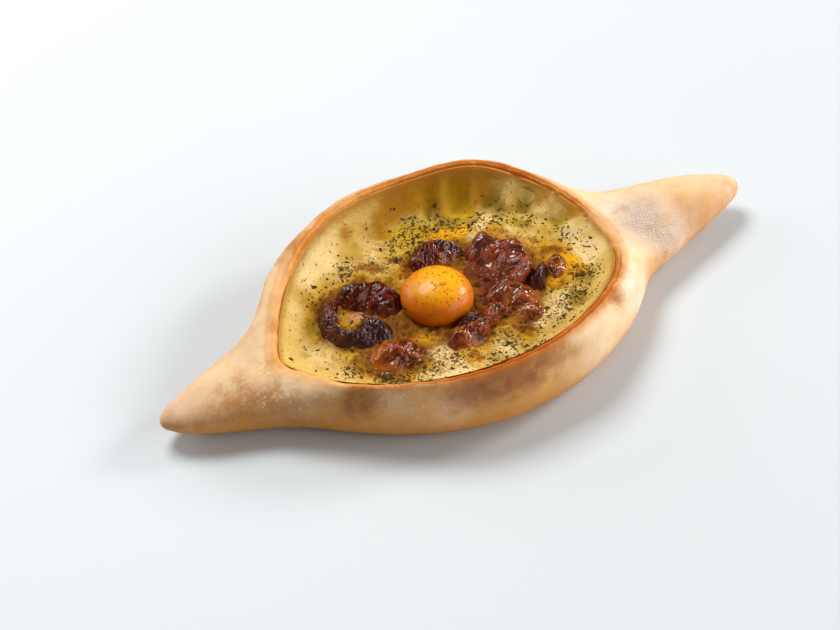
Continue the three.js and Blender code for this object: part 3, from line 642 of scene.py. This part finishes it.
# Each slice follows a line of (x, y, height over the cheese, width). `crest` says how far its ridge
# lies to the left of its middle. `creased`, `glowing` and `burnt` go from its start to its end.
SLICES = [
    {"node": "tomato_back", "skin": BURGUNDY, "glow": AMBER, "slot": "tomato", "crest": 0.35,
     "creased": (1.0, 0.9), "glowing": (0.25, 0.3), "burnt": (0.1, 0.0),
     "line": [(-19.5, 19, 4.6, 11), (-11, 24, 7.4, 14), (-2, 24, 7.6, 14.5), (8, 18.5, 5, 12)]},
    {"node": "tomato_back_right", "skin": MAROON, "glow": RUST, "slot": "tomato", "crest": 0.3,
     "gloss": 0.6, "creased": (0.6, 0.9), "glowing": (0.2, 0.15), "burnt": (0.0, 0.1),
     "line": [(5, 13, 5, 10), (13, 13, 8.2, 18), (21.5, 9, 8.6, 19), (25.5, 2, 8.4, 15),
              (25.5, -5, 8, 10.5), (20, -10, 7.6, 8), (11, -10.5, 6.6, 7), (1, -12, 4.4, 6)]},
    {"node": "tomato_right", "skin": RUSSET, "glow": AMBER, "slot": "tomato", "crest": 0.3,
     "gloss": 0.6, "creased": (0.2, 1.1), "glowing": (0.4, 0.35), "burnt": (0.0, 0.0),
     "line": [(-1, -15.5, 3.8, 8), (7.5, -16.5, 5.6, 13), (14, -21, 6.2, 17), (13.5, -28.5, 5.8, 15),
              (8, -34.5, 3.4, 10)]},
    {"node": "tomato_front_right", "skin": RED_BROWN, "glow": AMBER, "slot": "tomato", "crest": 0.2,
     "creased": (1.0, 0.35), "glowing": (0.1, 0.4), "burnt": (0.05, 0.0),
     "line": [(7, -27, 5.6, 6.5), (0.5, -24.5, 7.6, 10), (-5, -25, 7.6, 10), (-10.5, -28, 7.2, 10.5),
              (-17.5, -30, 7, 13), (-24, -30, 6.2, 13.5), (-31, -28, 4, 10)]},
    {"node": "tomato_under_yolk", "skin": BURGUNDY, "glow": BURGUNDY, "slot": "charred_tomato",
     "crest": 0.0, "creased": (1.1, 0.9), "glowing": (0.0, 0.1), "burnt": (0.75, 0.4),
     "line": [(-8, -19.5, 5, 6.5), (-15.5, -23.5, 5.8, 7.5), (-24, -25, 4, 7)]},
    {"node": "tomato_left", "skin": BURGUNDY, "glow": RUST, "slot": "tomato", "crest": 0.35,
     "gloss": 0.28, "creased": (0.8, 0.5), "glowing": (0.2, 0.15), "burnt": (0.15, 0.0),
     "line": [(-62, 21, 4.2, 11), (-54, 18.5, 7.6, 17), (-47, 13.5, 8, 18.5), (-42.5, 6.5, 7.4, 17.5),
              (-40.5, -2, 4.8, 13)]},
    {"node": "tomato_left_curl", "skin": BURGUNDY, "glow": RUST, "slot": "charred_tomato",
     "crest": 0.0, "creased": (1.0, 1.4), "glowing": (0.1, 0.0), "burnt": (0.4, 0.8),
     "line": [(-60.5, 21, 4.6, 8), (-67, 17, 6.2, 9.5), (-71.5, 10, 6.4, 9.5), (-72, 2.5, 6.4, 9.5),
              (-68, -4, 6.2, 9.5), (-61, -7.5, 6.4, 12), (-53.5, -7, 7.2, 16), (-47, -5.5, 4.8, 12)]},
    {"node": "tomato_front_left", "skin": RED_BROWN, "glow": AMBER, "slot": "amber_tomato",
     "crest": 0.1, "creased": (0.6, 1.2), "glowing": (0.85, 0.0), "burnt": (0.0, 0.05),
     "line": [(-66.5, -21, 3.8, 13), (-58, -24, 6, 19), (-49, -25, 6.2, 19.5), (-40.5, -25.5, 3.8, 14)]},
    {"node": "tomato_charred_leaf", "skin": BURGUNDY, "glow": RUST, "slot": "charred_tomato",
     "crest": 0.2, "creased": (0.7, 0.7), "glowing": (0.1, 0.0), "burnt": (0.5, 0.8),
     "line": [(37.5, -7, 4.6, 5), (31.5, -11, 7, 7.5), (26.5, -16, 6.6, 7.5), (24.5, -20, 3.6, 6)]},
    {"node": "tomato_far_right", "skin": RUST, "glow": AMBER, "slot": "amber_tomato", "crest": 0.0,
     "creased": (1.0, 0.8), "glowing": (0.2, 0.7), "burnt": (0.0, 0.0),
     "line": [(46.5, -2, 2.8, 7), (42, -9.5, 4.8, 10.5), (36, -17.5, 2.8, 7)]},
]


def laid_line(line, steps):
    """The middle of a slice seen from above, with its height and width, from knot to knot."""
    knots = [Vector(knot) for knot in line]
    points = []
    for i in range(len(knots) - 1):
        a, b = knots[i], knots[i + 1]
        before = knots[i - 1] if i else 2 * a - b
        after = knots[i + 2] if i + 2 < len(knots) else 2 * b - a
        one, two = a + (b - before) / 6, b - (after - a) / 6
        for k in range(steps):
            u = k / steps
            v = 1 - u
            points.append(v**3 * a + 3 * v * v * u * one + 3 * v * u * u * two + u**3 * b)
    return np.array([*points, knots[-1]])


# ---- The bread -----------------------------------------------------------------------

# Soft round spots on the crust: place, radius, strength. First, where it is browned.
BROWNED = [
    ((-82, -47, 29), 10, 0.75),
    ((-42, -68, 30), 12, 0.8),
    ((-26, -70, 32), 12, 0.95),
    ((-10, -70, 34), 12, 0.9),
    ((6, -67, 34), 9, 0.45),
    ((46, -50, 34), 9, 0.8),
    ((60, -36, 31), 6, 0.5),
    ((87, 5, 28), 9, 0.5),
    ((-95, 14, 31), 7, 0.45),
    ((-106, -4, 28), 8, 0.35),
    ((-131, -15, 20), 12, 0.45),
    ((-142, -12, 18), 8, 0.35),
    ((-118, -17, 22), 14, 0.36),
    ((-108, -28, 14), 13, 0.4),
    ((-90, -42, 22), 12, 0.5),
    ((-154, -4, 13), 9, 0.5),
    ((-70, 50, 34), 15, 0.6),
    ((-40, 64, 36), 12, 0.5),
    ((10, 68, 38), 14, 0.7),
    ((45, 52, 40), 12, 0.5),
    ((-58, 60, 22), 12, 0.5),
    ((-14, 73, 24), 14, 0.55),
    ((24, 70, 24), 12, 0.65),
    ((66, 44, 20), 10, 0.45),
    ((152, 4, 10), 9, 0.4),
    ((118, -14, 24), 16, 0.3),
    ((100, -4, 27), 10, 0.2),
]
# Where the rim is most toasted.
TOASTED = [
    ((-70, -54, 30), 14, 0.5),
    ((-40, -66, 34), 22, 0.9),
    ((-5, -68, 38), 24, 1.0),
    ((35, -55, 37), 22, 0.9),
    ((62, -34, 32), 14, 0.6),
    ((30, 58, 43), 22, 0.7),
    ((55, 38, 40), 18, 1.0),
    ((72, 18, 32), 10, 0.7),
    ((-10, 66, 40), 22, 0.5),
    ((-60, 48, 36), 16, 0.4),
]
# Spots of painted light on the crust: paler than the painted shade of its slope makes it.
PAINTED_LIGHT_SPOTS = [
    ((-136, -2, 24), 14, 0.3),
    ((32, -68, 20), 15, 0.9),
    ((50, -58, 22), 14, 0.9),
    ((66, -46, 20), 12, 0.6),
    ((12, -73, 14), 12, 0.4),
]
# Spots of painted shade on the crust: darker than the painted shade of its slope makes it.
PAINTED_SHADE_SPOTS = [
    ((120, -14, 22), 20, 0.65),
    ((146, -4, 18), 14, 0.5),
]
# Where flour lies, as a veil and as white grains.
FLOURY = [
    ((-103, -28, 25), 11, 0.2),
    ((-71, -56, 28), 7, 0.3),
    ((-50, -66, 21), 9, 0.3),
    ((93, -12, 26), 17, 0.85),
    ((84, 3, 28), 12, 0.9),
    ((63, -47, 25), 14, 0.9),
    ((28, -68, 24), 18, 0.35),
    ((106, -20, 20), 14, 0.5),
    ((148, -3, 21), 16, 0.5),
    ((-150, 2, 18), 14, 0.5),
    ((0, 72, 20), 30, 0.5),
]
GRAINY = [
    ((-103, -26, 26), 9, 1.0),
    ((-116, -22, 22), 8, 0.7),
    ((-71, -55, 30), 7, 1.0),
    ((-60, -62, 26), 9, 0.5),
]
# Where the skin of the dough has dried in fine wrinkles.
WRINKLED = [
    ((90, -9, 27), 12, 1.0),
    ((120, -14, 24), 18, 0.4),
    ((98, -20, 22), 10, 0.6),
    ((100, 4, 25), 10, 0.5),
    ((-112, 8, 26), 10, 0.4),
]
CRUST_INSET = 0.3  # the crust's lumps rise from this far inside the solid
# The grips are drawn out a little, more and more between these distances from the middle.
GRIPS = {"from": 90, "to": 158, "drawn_out": 1.9}


def distance_from_rim(points):
    """Signed distance in mm from the rim's outer edge: negative outside, positive inside."""
    x, y, z = points.T
    reach, level = rim_towards(np.arctan2(y, x - OPENING_X))
    inset = reach - np.hypot(x - OPENING_X, y)
    return np.sign(inset) * np.hypot(inset, level - z)


def make_bread():
    bread = new_piece("baked_boat", copy_of("bread"))
    refine(bread, 2)
    points, out = places(bread), facings(bread)
    from_rim = distance_from_rim(points)
    on_top = smoothstep(points[:, 2], 1.0, 8)
    shape = 0.9 * ripple(points, 26, 1) + 0.35 * ripple(points, 8, 2)
    shape += 0.8 * ripple(points, 5, 3) * np.exp(-(((from_rim - 1) / 2.5) ** 2))
    wrinkled = covered(points, WRINKLED)
    shape += 0.5 * wrinkled * ripple(points, 3.5, 4)
    inside = smoothstep(from_rim, 4, 8)
    points += out * (shape * on_top * (1 - inside) - CRUST_INSET)[:, None]
    out_on_grip = smoothstep(np.abs(points[:, 0]), GRIPS["from"], GRIPS["to"])
    points[:, 0] += GRIPS["drawn_out"] * np.sign(points[:, 0]) * out_on_grip
    points[:, 2] -= points[:, 2].min()
    move_to(bread, points)
    base = 0.7 * (1 - smoothstep(points[:, 2], 0, 5)) * (1 - inside)
    mark(bread, "from_rim", from_rim)
    mark(bread, "browned", np.clip(covered(points, BROWNED) + base, 0, 1))
    mark(bread, "floury", np.clip(covered(points, FLOURY) + 0.08, 0, 1))
    mark(bread, "toasted", covered(points, TOASTED))
    # Painted shade: the further a face turns from facing up, the darker, with the spots of painted light
    # and painted shade laid on it.
    painted_side_shade = 1 - np.clip(facings(bread)[:, 2], 0, 1)
    mark(bread, "painted_side_shade", painted_side_shade - covered(points, PAINTED_LIGHT_SPOTS) + covered(points, PAINTED_SHADE_SPOTS))
    mark(bread, "wrinkled", wrinkled)
    mark(bread, "grainy", covered(points, GRAINY))
    return finish_piece(bread, crust_finish(), ["bread"])


# ---- The cheese ----------------------------------------------------------------------

# Soft round spots on the cheese: place, radius, strength.
CHEESE_WHITE = [
    ((-36, -47), 6, 1.0),
    ((-46, -49), 7, 0.8),
    ((-48, -43), 5, 0.9),
    ((-8, -44), 7, 0.8),
    ((14, -39), 4.5, 0.8),
    ((-70, 38), 8, 0.8),
    ((-60, 46), 8, 0.8),
    ((-45, 55), 6, 0.6),
    ((-82, 22), 8, 0.5),
    ((-35, -34), 6.5, 1.0),
    ((-30, -54), 4, 0.7),
    ((30, -32), 10, 0.7),
    ((22, -36), 6, 0.6),
    ((31, 36), 4, 0.9),
    ((24, 31), 3.5, 1.0),
    ((17, 26), 3.5, 0.9),
    ((-84, -6), 11, 0.6),
    ((-77, -24), 8, 0.5),
    ((60, -6), 6, 0.9),
    ((58, -14), 5, 0.7),
    ((69, -12), 7, 0.9),
    ((-34, 36), 4, 0.6),
    ((60, 6), 7, 0.6),
    ((73, 4), 6, 0.7),
    ((48, -24), 6, 0.4),
    ((-30, 42), 5, 0.6),
    ((-52, 44), 8, 0.5),
    ((55, -32), 7, 0.4),
]
CHEESE_BROWNED = [
    ((-40, 34), 5, 0.9),
    ((-34, 29), 5.5, 1.0),
    ((-23, 30), 4, 1.0),
    ((30, 23), 6, 0.7),
    ((42, 11), 4, 0.8),
    ((36, 16), 4, 0.6),
    ((50, -25), 5, 0.6),
    ((36, 2), 6, 0.6),
    ((-23, -44), 5, 0.9),
    ((5, -33), 5, 0.8),
    ((-3, -38), 5, 0.6),
    ((-57, -36), 6, 0.5),
    ((-44, -36), 5, 0.5),
    ((-66, -22), 5, 0.4),
    ((12, -45), 5, 0.4),
    ((16, -22), 8, 0.5),
    ((35, -37), 5, 0.7),
]
CHEESE_ORANGE = [
    ((49, -10), 7, 1.0),
    ((44, -17), 5, 0.8),
    ((35, -18), 4, 0.9),
    ((4, 37), 6, 0.7),
    ((11, 35), 6, 0.9),
    ((18, 34), 4, 0.8),
    ((-24, -45), 5, 0.7),
    ((4, -45), 3, 0.4),
    ((-36, 31), 3, 0.8),
    ((42, -3), 4, 0.6),
    ((-34, -24), 6, 0.6),
    ((-40, -20), 5, 0.5),
]
CHEESE_OILY = [
    ((-6, 41), 13, 0.9),
    ((-22, 38), 9, 0.6),
    ((20, 46), 9, 0.8),
    ((36, 32), 10, 0.5),
    ((-30, -14), 16, 0.6),
    ((10, 0), 14, 0.8),
    ((-57, 6), 10, 0.9),
    ((-44, -3), 8, 0.8),
    ((-48, -34), 12, 0.7),
    ((-76, 13), 8, 0.8),
    ((-62, 34), 7, 0.5),
    ((-2, -36), 8, 0.5),
    ((50, -24), 7, 0.6),
    ((56, 20), 8, 0.5),
]
CHEESE_OLIVE = [
    ((39, 38), 7, 0.8),
    ((44, 23), 7, 0.7),
    ((12, 42), 6, 0.7),
    ((-4, 46), 8, 0.5),
    ((38, -33), 6, 0.6),
    ((35, -38), 5, 0.9),
    ((66, -1), 4, 0.4),
    ((11, 41), 5, 0.9),
    ((50, -24), 6, 0.6),
    ((61, -22), 5, 0.3),
    ((-73, 26), 7, 0.6),
    ((-78, 11), 6, 0.8),
    ((-82, -6), 5, 0.4),
    ((-50, -45), 5, 0.5),
    ((-58, -30), 5, 0.5),
    ((-26, 30), 4, 0.5),
    ((6, -47), 6, 0.4),
]
CHEESE_AMBER = [
    ((8, 34), 7, 0.6),
    ((26, 27), 6, 0.45),
    ((50, -18), 6, 0.4),
    ((-72, 24), 5, 0.4),
    ((4, 3), 9, 0.9),
    ((13, -3), 8, 0.8),
    ((-1, -15), 7, 0.9),
    ((-6, 17), 6, 0.6),
    ((-38, -17), 8, 0.45),
    ((-28, -22), 8, 0.5),
    ((-44, -12), 7, 0.5),
    ((-46, 30), 6, 0.4),
    ((-33, 20), 5, 0.6),
    ((34, 4), 8, 0.6),
    ((28, 16), 7, 0.5),
]
# Dark skin of tomato melted in to the cheese.
CHEESE_SKIN = [
    ((5, 4), 7, 1.0),
    ((14, -3), 7, 1.0),
    ((0, -14), 5, 0.8),
    ((8, -7), 6, 0.9),
    ((-5, 16), 5, 0.6),
    ((16, 6), 5, 0.7),
]
CHEESE_PINK = [
    ((-58, 5.5), 4.5, 1.0),
    ((-53, 9), 3, 0.5),
]
CHEESE_GOLDEN = [
    ((20, 56, 33), 13, 1.0),
    ((34, 50, 34), 11, 1.0),
    ((26, 50, 28), 9, 0.8),
    ((2, 60, 34), 13, 0.9),
    ((-12, 56, 31), 9, 0.8),
    ((-38, 54, 28), 5, 0.8),
    ((-67, 42, 31), 5, 0.8),
    ((59, 30, 25), 7, 0.7),
    ((68, 15, 25), 5.5, 1.0),
    ((-78, 26, 24), 6, 0.4),
    ((-22, 49, 24), 8, 0.8),
    ((12, 43, 25), 6, 0.7),
]
CHEESE_TURNS, CHEESE_RINGS = 420, 132
TOP_SHARE = 0.93  # share of the rings that lie on top; the rest close the mesh below
CHEESE_OVERLAP = 0.5  # the cheese runs this far in to the inner edge of the rim
CHEESE_MERGED = 0.02
JUICE_AND_SHADE_REACH = 4.2  # the tomatoes' juice, and the painted shade round the slices, fade over this many mm


def near_slices(points):
    """How close each point is to a slice of tomato or the yolk: 1 under it, 0 some mm away."""
    clear = np.hypot(points[:, 0] - YOLK_PLACE[0], points[:, 1] - YOLK_PLACE[1]) - YOLK_RADIUS
    for piece in SLICES:
        for x, y, _, width in laid_line(piece["line"], 5):
            clear = np.minimum(clear, np.hypot(points[:, 0] - x, points[:, 1] - y) - width / 2)
    return np.exp(-np.maximum(clear, 0) / JUICE_AND_SHADE_REACH)


def make_cheese():
    """A flat grid, wrapped round the opening and in under itself, then raised and marked."""
    bm = bmesh.new()
    bmesh.ops.create_grid(bm, x_segments=CHEESE_TURNS, y_segments=CHEESE_RINGS, size=0.5)
    cheese = new_piece("cheese_filling", bm)
    grid = places(cheese) + 0.5
    turn, ring = 2 * math.pi * grid[:, 0], grid[:, 1]
    reach, level = rim_towards(turn)
    edge = reach - RIM_WIDTH + CHEESE_OVERLAP
    top = np.clip(ring / TOP_SHARE, 0, 1) ** 0.8
    under = np.clip((ring - TOP_SHARE) / (1 - TOP_SHARE), 0, 1)
    away = edge * np.where(ring > TOP_SHARE, 1 - under, top)
    x, y = OPENING_X + away * np.cos(turn), away * np.sin(turn)
    z = cheese_level(x, y)
    points = np.stack([x, y, z], 1)
    inset = edge - away
    climb = np.clip(1 - inset / FILM_REACH, 0, 1)
    white, browned = covered(points, CHEESE_WHITE), covered(points, CHEESE_BROWNED)
    oily = covered(points, CHEESE_OILY)
    amber = np.clip(near_slices(points) + covered(points, CHEESE_AMBER), 0, 1)
    flat = 1 - smoothstep(climb, 0, 0.4)
    busy = np.clip(0.9 * white + browned + 0.55 * amber + 0.6 * oily, 0, 1) * flat
    skin = covered(points, CHEESE_SKIN)
    z += 0.5 * ripple(points, 9, 11) * (1 - climb) + 1.6 * skin * np.abs(ripple(points, 4, 17))
    z += (0.2 + busy) * (2.1 * np.abs(ripple(points, 4.4, 12)) + 0.6 * ripple(points, 2, 13)) * flat
    streaks = np.stack([60 * turn, 0.3 * away, 0 * away], 1)
    z += 0.35 * ripple(streaks, 7, 14) * np.sin(math.pi * climb)
    z += 0.8 * ripple(points, 16, 15) * np.sin(math.pi * climb)
    here, wave = wall_folds(turn + 0.03 * ripple(points, 12, 16))
    here = here * smoothstep(climb, 0.15, 0.45) * (1 - smoothstep(climb, 0.8, 0.97))
    z += 0.9 * here * (1 - wave) ** 4
    z = np.where(ring > TOP_SHARE, lerp(z, CHEESE_BASE, smoothstep(under, 0, 0.5)), z)
    move_to(cheese, np.stack([x, y, z], 1))
    mark(cheese, "white", white)
    mark(cheese, "browned", browned)
    mark(cheese, "orange", covered(points, CHEESE_ORANGE))
    mark(cheese, "pink", covered(points, CHEESE_PINK))
    mark(cheese, "olive", covered(points, CHEESE_OLIVE))
    mark(cheese, "oily", oily)
    mark(cheese, "amber", amber)
    mark(cheese, "skin", skin)
    mark(cheese, "busy", busy)
    mark(cheese, "golden", covered(points, CHEESE_GOLDEN))
    mark(cheese, "wall", smoothstep(climb, 0.05, 0.8))
    # Where the folds' hollows and ridges lie, for their painted shade and painted light.
    mark(cheese, "hollow", here * wave)
    mark(cheese, "ridged", here * (1 - wave) ** 2)
    mark(cheese, "speckled", smoothstep(climb, 0.25, 0.9))
    mark(cheese, "from_rim", reach - away)
    close_up(cheese, CHEESE_MERGED)
    return finish_piece(cheese, cheese_finish(), ["cheese"])


# ---- The yolk ------------------------------------------------------------------------


def make_yolk():
    yolk = new_piece("egg_yolk", copy_of("yolk"))
    refine(yolk, 2)
    points, out = places(yolk), facings(yolk)
    move_to(yolk, points + out * (0.3 * ripple(points, 14, 21))[:, None])
    return finish_piece(yolk, yolk_finish(), ["yolk"])


# ---- The slices of roasted tomato ----------------------------------------------------

SKIN_GLOSS = 0.42
SLICE_STEP, SLICE_ROUND = 0.3, 120  # the grid's spacing along a slice, and its steps round it
LINE_STEPS = 40
SLICE_SPREAD = 1.25  # how much wider a slice is at its thin edges
SLICE_SUNK = 0.8  # those edges lie this far under the level of the cheese
CREASE_SPACING = 3.6
END_SLOPE = 5  # a slice rises to its full height over this length
SEEDS = {"warp": 31, "folds": 41, "net": 51, "lumps": 61, "swells": 71, "bends": 81}


def make_slice(piece, number):
    """A flat grid, wrapped round its line and shaped as a creased flap."""
    line = piece["line"]
    middle = laid_line(line, LINE_STEPS)
    length = np.linalg.norm(np.diff(middle[:, :2], axis=0), axis=1).sum()
    bm = bmesh.new()
    bmesh.ops.create_grid(bm, x_segments=int(length / SLICE_STEP), y_segments=SLICE_ROUND, size=0.5)
    bent = new_piece(piece["node"] + "_skin", bm)
    grid = places(bent) + 0.5
    t, turn = np.clip(grid[:, 0], 0, 1), -2 * math.pi * grid[:, 1]
    at = np.linspace(0, 1, len(middle))
    x, y, high, width = (np.interp(t, at, middle[:, k]) for k in range(4))
    heading = np.gradient(middle[:, :2], axis=0)
    side = np.stack([-np.interp(t, at, heading[:, 1]), np.interp(t, at, heading[:, 0])], 1)
    side /= np.linalg.norm(side, axis=1)[:, None]
    taper = np.sqrt(np.clip(1 - np.abs(2 * t - 1) ** (1.2 * len(line)), 0, 1))
    s, across, up = t * length, np.cos(turn), np.sin(turn)
    # A rumpled flap with a ridge along it and edges that run out under the cheese.
    flat = np.stack([s, width / 2 * across, 0 * s], 1)
    lump = ripple(flat, 6, SEEDS["lumps"] + number)
    bend = ripple(flat * (1, 0, 0), 8, SEEDS["bends"] + number)
    reach = SLICE_SPREAD * width / 2 * across * (1 + 0.35 * lump) * taper
    place = np.stack([x, y], 1) + side * (reach + bend * taper)[:, None]
    crest = piece["crest"] + 0.3 * bend
    from_crest = np.abs(across - crest) / (1 - np.sign(across - crest) * crest)
    dome = 0.8 * np.cos(math.pi / 2 * from_crest) ** 1.25 + 0.2 * (1 - from_crest)
    low_end = np.clip(np.minimum(t, 1 - t) * length / END_SLOPE, 0, 1)
    ground = cheese_level(place[:, 0], place[:, 1]) - SLICE_SUNK
    body = (high + SLICE_SUNK) * dome * (0.45 + 0.55 * low_end) * taper
    body *= 1 + 0.25 * ripple(flat, 6.5, SEEDS["swells"] + number)
    # Lobes with creases between them, and a net of sharp ridges over them.
    warp = ripple(flat, 4, SEEDS["warp"] + number)
    down = flat[:, 1] + 0.9 * high * (1 - dome) * np.sign(across - crest)
    crossing = np.stack([s / CREASE_SPACING + warp, down / CREASE_SPACING + 1.2 * warp, 0 * s], 1)
    folds = np.abs(ripple(crossing, 1, SEEDS["folds"] + number))
    net = (1 - 2 * np.abs(ripple(1.7 * crossing, 1, SEEDS["net"] + number))) ** 2
    creased = lerp(*piece["creased"], t) * dome**0.6 * taper
    wrinkles = 2.0 * (folds - 0.25) + 0.8 * (net - 0.5)
    body += creased * wrinkles
    z = ground + np.where(up >= 0, body * np.clip(up * 6, 0, 1), 1.4 * up * taper)
    move_to(bent, np.stack([place[:, 0], place[:, 1], z], 1))
    # Where the skin rises to a ridge, for the painted shade in its creases.
    mark(bent, "ridge", np.clip(0.5 + 0.8 * wrinkles, 0, 1))
    glowing = lerp(*piece["glowing"], t) + 0.6 * (1 - dome) ** 2 + 0.45 * lump
    mark(bent, "thin", np.clip(glowing, 0, 1))
    mark(bent, "burnt", np.clip(lerp(*piece["burnt"], t) + 0.5 * (0.25 - folds), 0, 1))
    close_up(bent, MERGED_WITHIN)
    gloss = piece.get("gloss", SKIN_GLOSS)
    finish = tomato_finish(piece["node"] + "_finish", piece["skin"], piece["glow"], gloss)
    return finish_piece(bent, finish, [piece["node"]])


# ---- Dried herbs ---------------------------------------------------------------------

# Pinches of herb: place, spread, how many flakes.
PINCHES = [
    ((-17, 42), 9, 60),
    ((-4, 46), 8, 60),
    ((9, 44), 8, 60),
    ((27, 36), 8, 70),
    ((37, 34), 8, 50),
    ((56, 9), 9, 50),
    ((60, -2), 8, 45),
    ((54, -20), 8, 55),
    ((26, -41), 8, 80),
    ((-4, -41), 9, 60),
    ((-32, -43), 8, 70),
    ((-15, -51), 9, 70),
    ((-60, -39), 9, 80),
    ((-77, -24), 6, 80),
    ((-72, -11), 6, 30),
    ((-47, 38), 8, 50),
    ((-66, 26), 8, 45),
    ((0, -52), 8, 50),
    ((-10, 32), 8, 90),
    ((-48, 34), 5, 55),
    ((-24, 31), 4, 45),
    ((-2, 40), 14, 110),
    ((16, 38), 9, 70),
    ((48, 24), 10, 60),
    ((48, -22), 9, 120),
    ((37, -32), 9, 130),
    ((-64, -33), 5, 100),
    ((-50, -42), 12, 90),
    ((-20, -4), 12, 46),
    ((-60, 3), 8, 30),
]
STREWN = 640  # flakes that lie anywhere
HERB_SEED = 11
FLAKE_LENGTH = {"least": 0.5, "usual": 0.62, "most": 3.6, "on_yolk": 0.9}
FLAKE_THICK = 1.6  # past this length a flake grows no thicker
RIM_CLEAR = {"strewn": 8, "any": 7}  # how far flakes keep from the rim's outer edge
DROP_HEIGHT = 80


def flake_shapes(chance):
    """A few thin, uneven chips, 1 mm long, to be copied."""
    shapes = []
    for _ in range(10):
        bm = bmesh.new()
        bmesh.ops.create_circle(bm, segments=chance.choice([5, 6, 7]), radius=0.5, cap_ends=True)
        for corner in bm.verts:
            corner.co.x *= chance.uniform(0.7, 1.2)
            corner.co.y *= chance.uniform(0.3, 0.6)
        rim = bmesh.ops.extrude_face_region(bm, geom=bm.faces[:])
        raised = [item for item in rim["geom"] if isinstance(item, bmesh.types.BMVert)]
        for corner in raised:
            corner.co.x *= 0.85
            corner.co.y *= 0.8
            corner.co.z = chance.uniform(0.12, 0.3)
        bmesh.ops.recalc_face_normals(bm, faces=bm.faces)
        shape = bpy.data.meshes.new("flake")
        bm.to_mesh(shape)
        bm.free()
        shapes.append(shape)
    return shapes


def make_herbs(carriers):
    """Drops flakes on to the pieces that carry them, all joined in one mesh."""
    chance = random.Random(HERB_SEED)
    depsgraph = bpy.context.evaluated_depsgraph_get()
    trees = [BVHTree.FromObject(piece, depsgraph) for piece in carriers]
    spots = []
    for (x, y), spread, count in PINCHES:
        spots += [(chance.gauss(x, spread / 2), chance.gauss(y, spread / 2)) for _ in range(count)]
    for _ in range(STREWN):
        turn, away = chance.uniform(0, 2 * math.pi), math.sqrt(chance.uniform(0, 1))
        reach = float(rim_towards(turn)[0]) - RIM_CLEAR["strewn"]
        spots.append((OPENING_X + reach * away * math.cos(turn), reach * away * math.sin(turn)))
    shapes = flake_shapes(chance)
    bm = bmesh.new()
    for x, y in spots:
        longer = chance.expovariate(1 / FLAKE_LENGTH["usual"])
        length = min(FLAKE_LENGTH["least"] + longer, FLAKE_LENGTH["most"])
        above = Vector((x, y, DROP_HEIGHT)) * MM
        hits = [tree.ray_cast(above, Vector((0, 0, -1))) for tree in trees]
        hits = [hit for hit in hits if hit[0]]
        if not hits:
            continue
        place, facing = max(hits, key=lambda hit: hit[0].z)[:2]
        reach = float(rim_towards(math.atan2(y, x - OPENING_X))[0])
        if math.hypot(x - OPENING_X, y) > reach - RIM_CLEAR["any"]:
            continue
        if math.hypot(x - YOLK_PLACE[0], y - YOLK_PLACE[1]) < YOLK_RADIUS:
            length = min(length, FLAKE_LENGTH["on_yolk"])
        tilt = facing.to_track_quat("Z", "Y").to_matrix().to_4x4()
        spin = Euler((chance.gauss(0, 0.2), chance.gauss(0, 0.2), chance.uniform(0, 6.28)))
        broad = length * chance.uniform(0.8, 1.3)
        size = Matrix.Diagonal((length, broad, min(length, FLAKE_THICK), 1))
        flake = shapes[chance.randrange(len(shapes))].copy()
        turned = tilt @ spin.to_matrix().to_4x4() @ size
        flake.transform(Matrix.Translation(place / MM) @ turned)
        bm.from_mesh(flake)
        bpy.data.meshes.remove(flake)
    for shape in shapes:
        bpy.data.meshes.remove(shape)
    herbs = new_piece("herb_flakes", bm)
    herbs = finish_piece(herbs, herb_finish())
    herbs.data.shade_flat()
    return herbs


# ---- The floor, and putting it all together ------------------------------------------

FLOOR_HALF = 3000
FLOOR_TONES = [(0.62, 0.67, 0.71), (0.655, 0.70, 0.735)]


def make_floor():
    bm = bmesh.new()
    bmesh.ops.create_grid(bm, x_segments=1, y_segments=1, size=FLOOR_HALF)
    floor = new_piece("floor", bm)
    floor.data.transform(Matrix.Scale(MM, 4))
    paper = Finish("pale_floor", FLOOR_TONES[0], Roughness=0.6)
    paper.paint(paper.noise(600, 1), FLOOR_TONES[1])
    floor.data.materials.append(paper.done())


make_camera()
make_room()
make_floor()
bread = make_bread()
cheese = make_cheese()
yolk = make_yolk()
slices = [make_slice(piece, number) for number, piece in enumerate(SLICES)]
bpy.context.view_layer.update()
make_herbs([cheese, yolk, *slices])
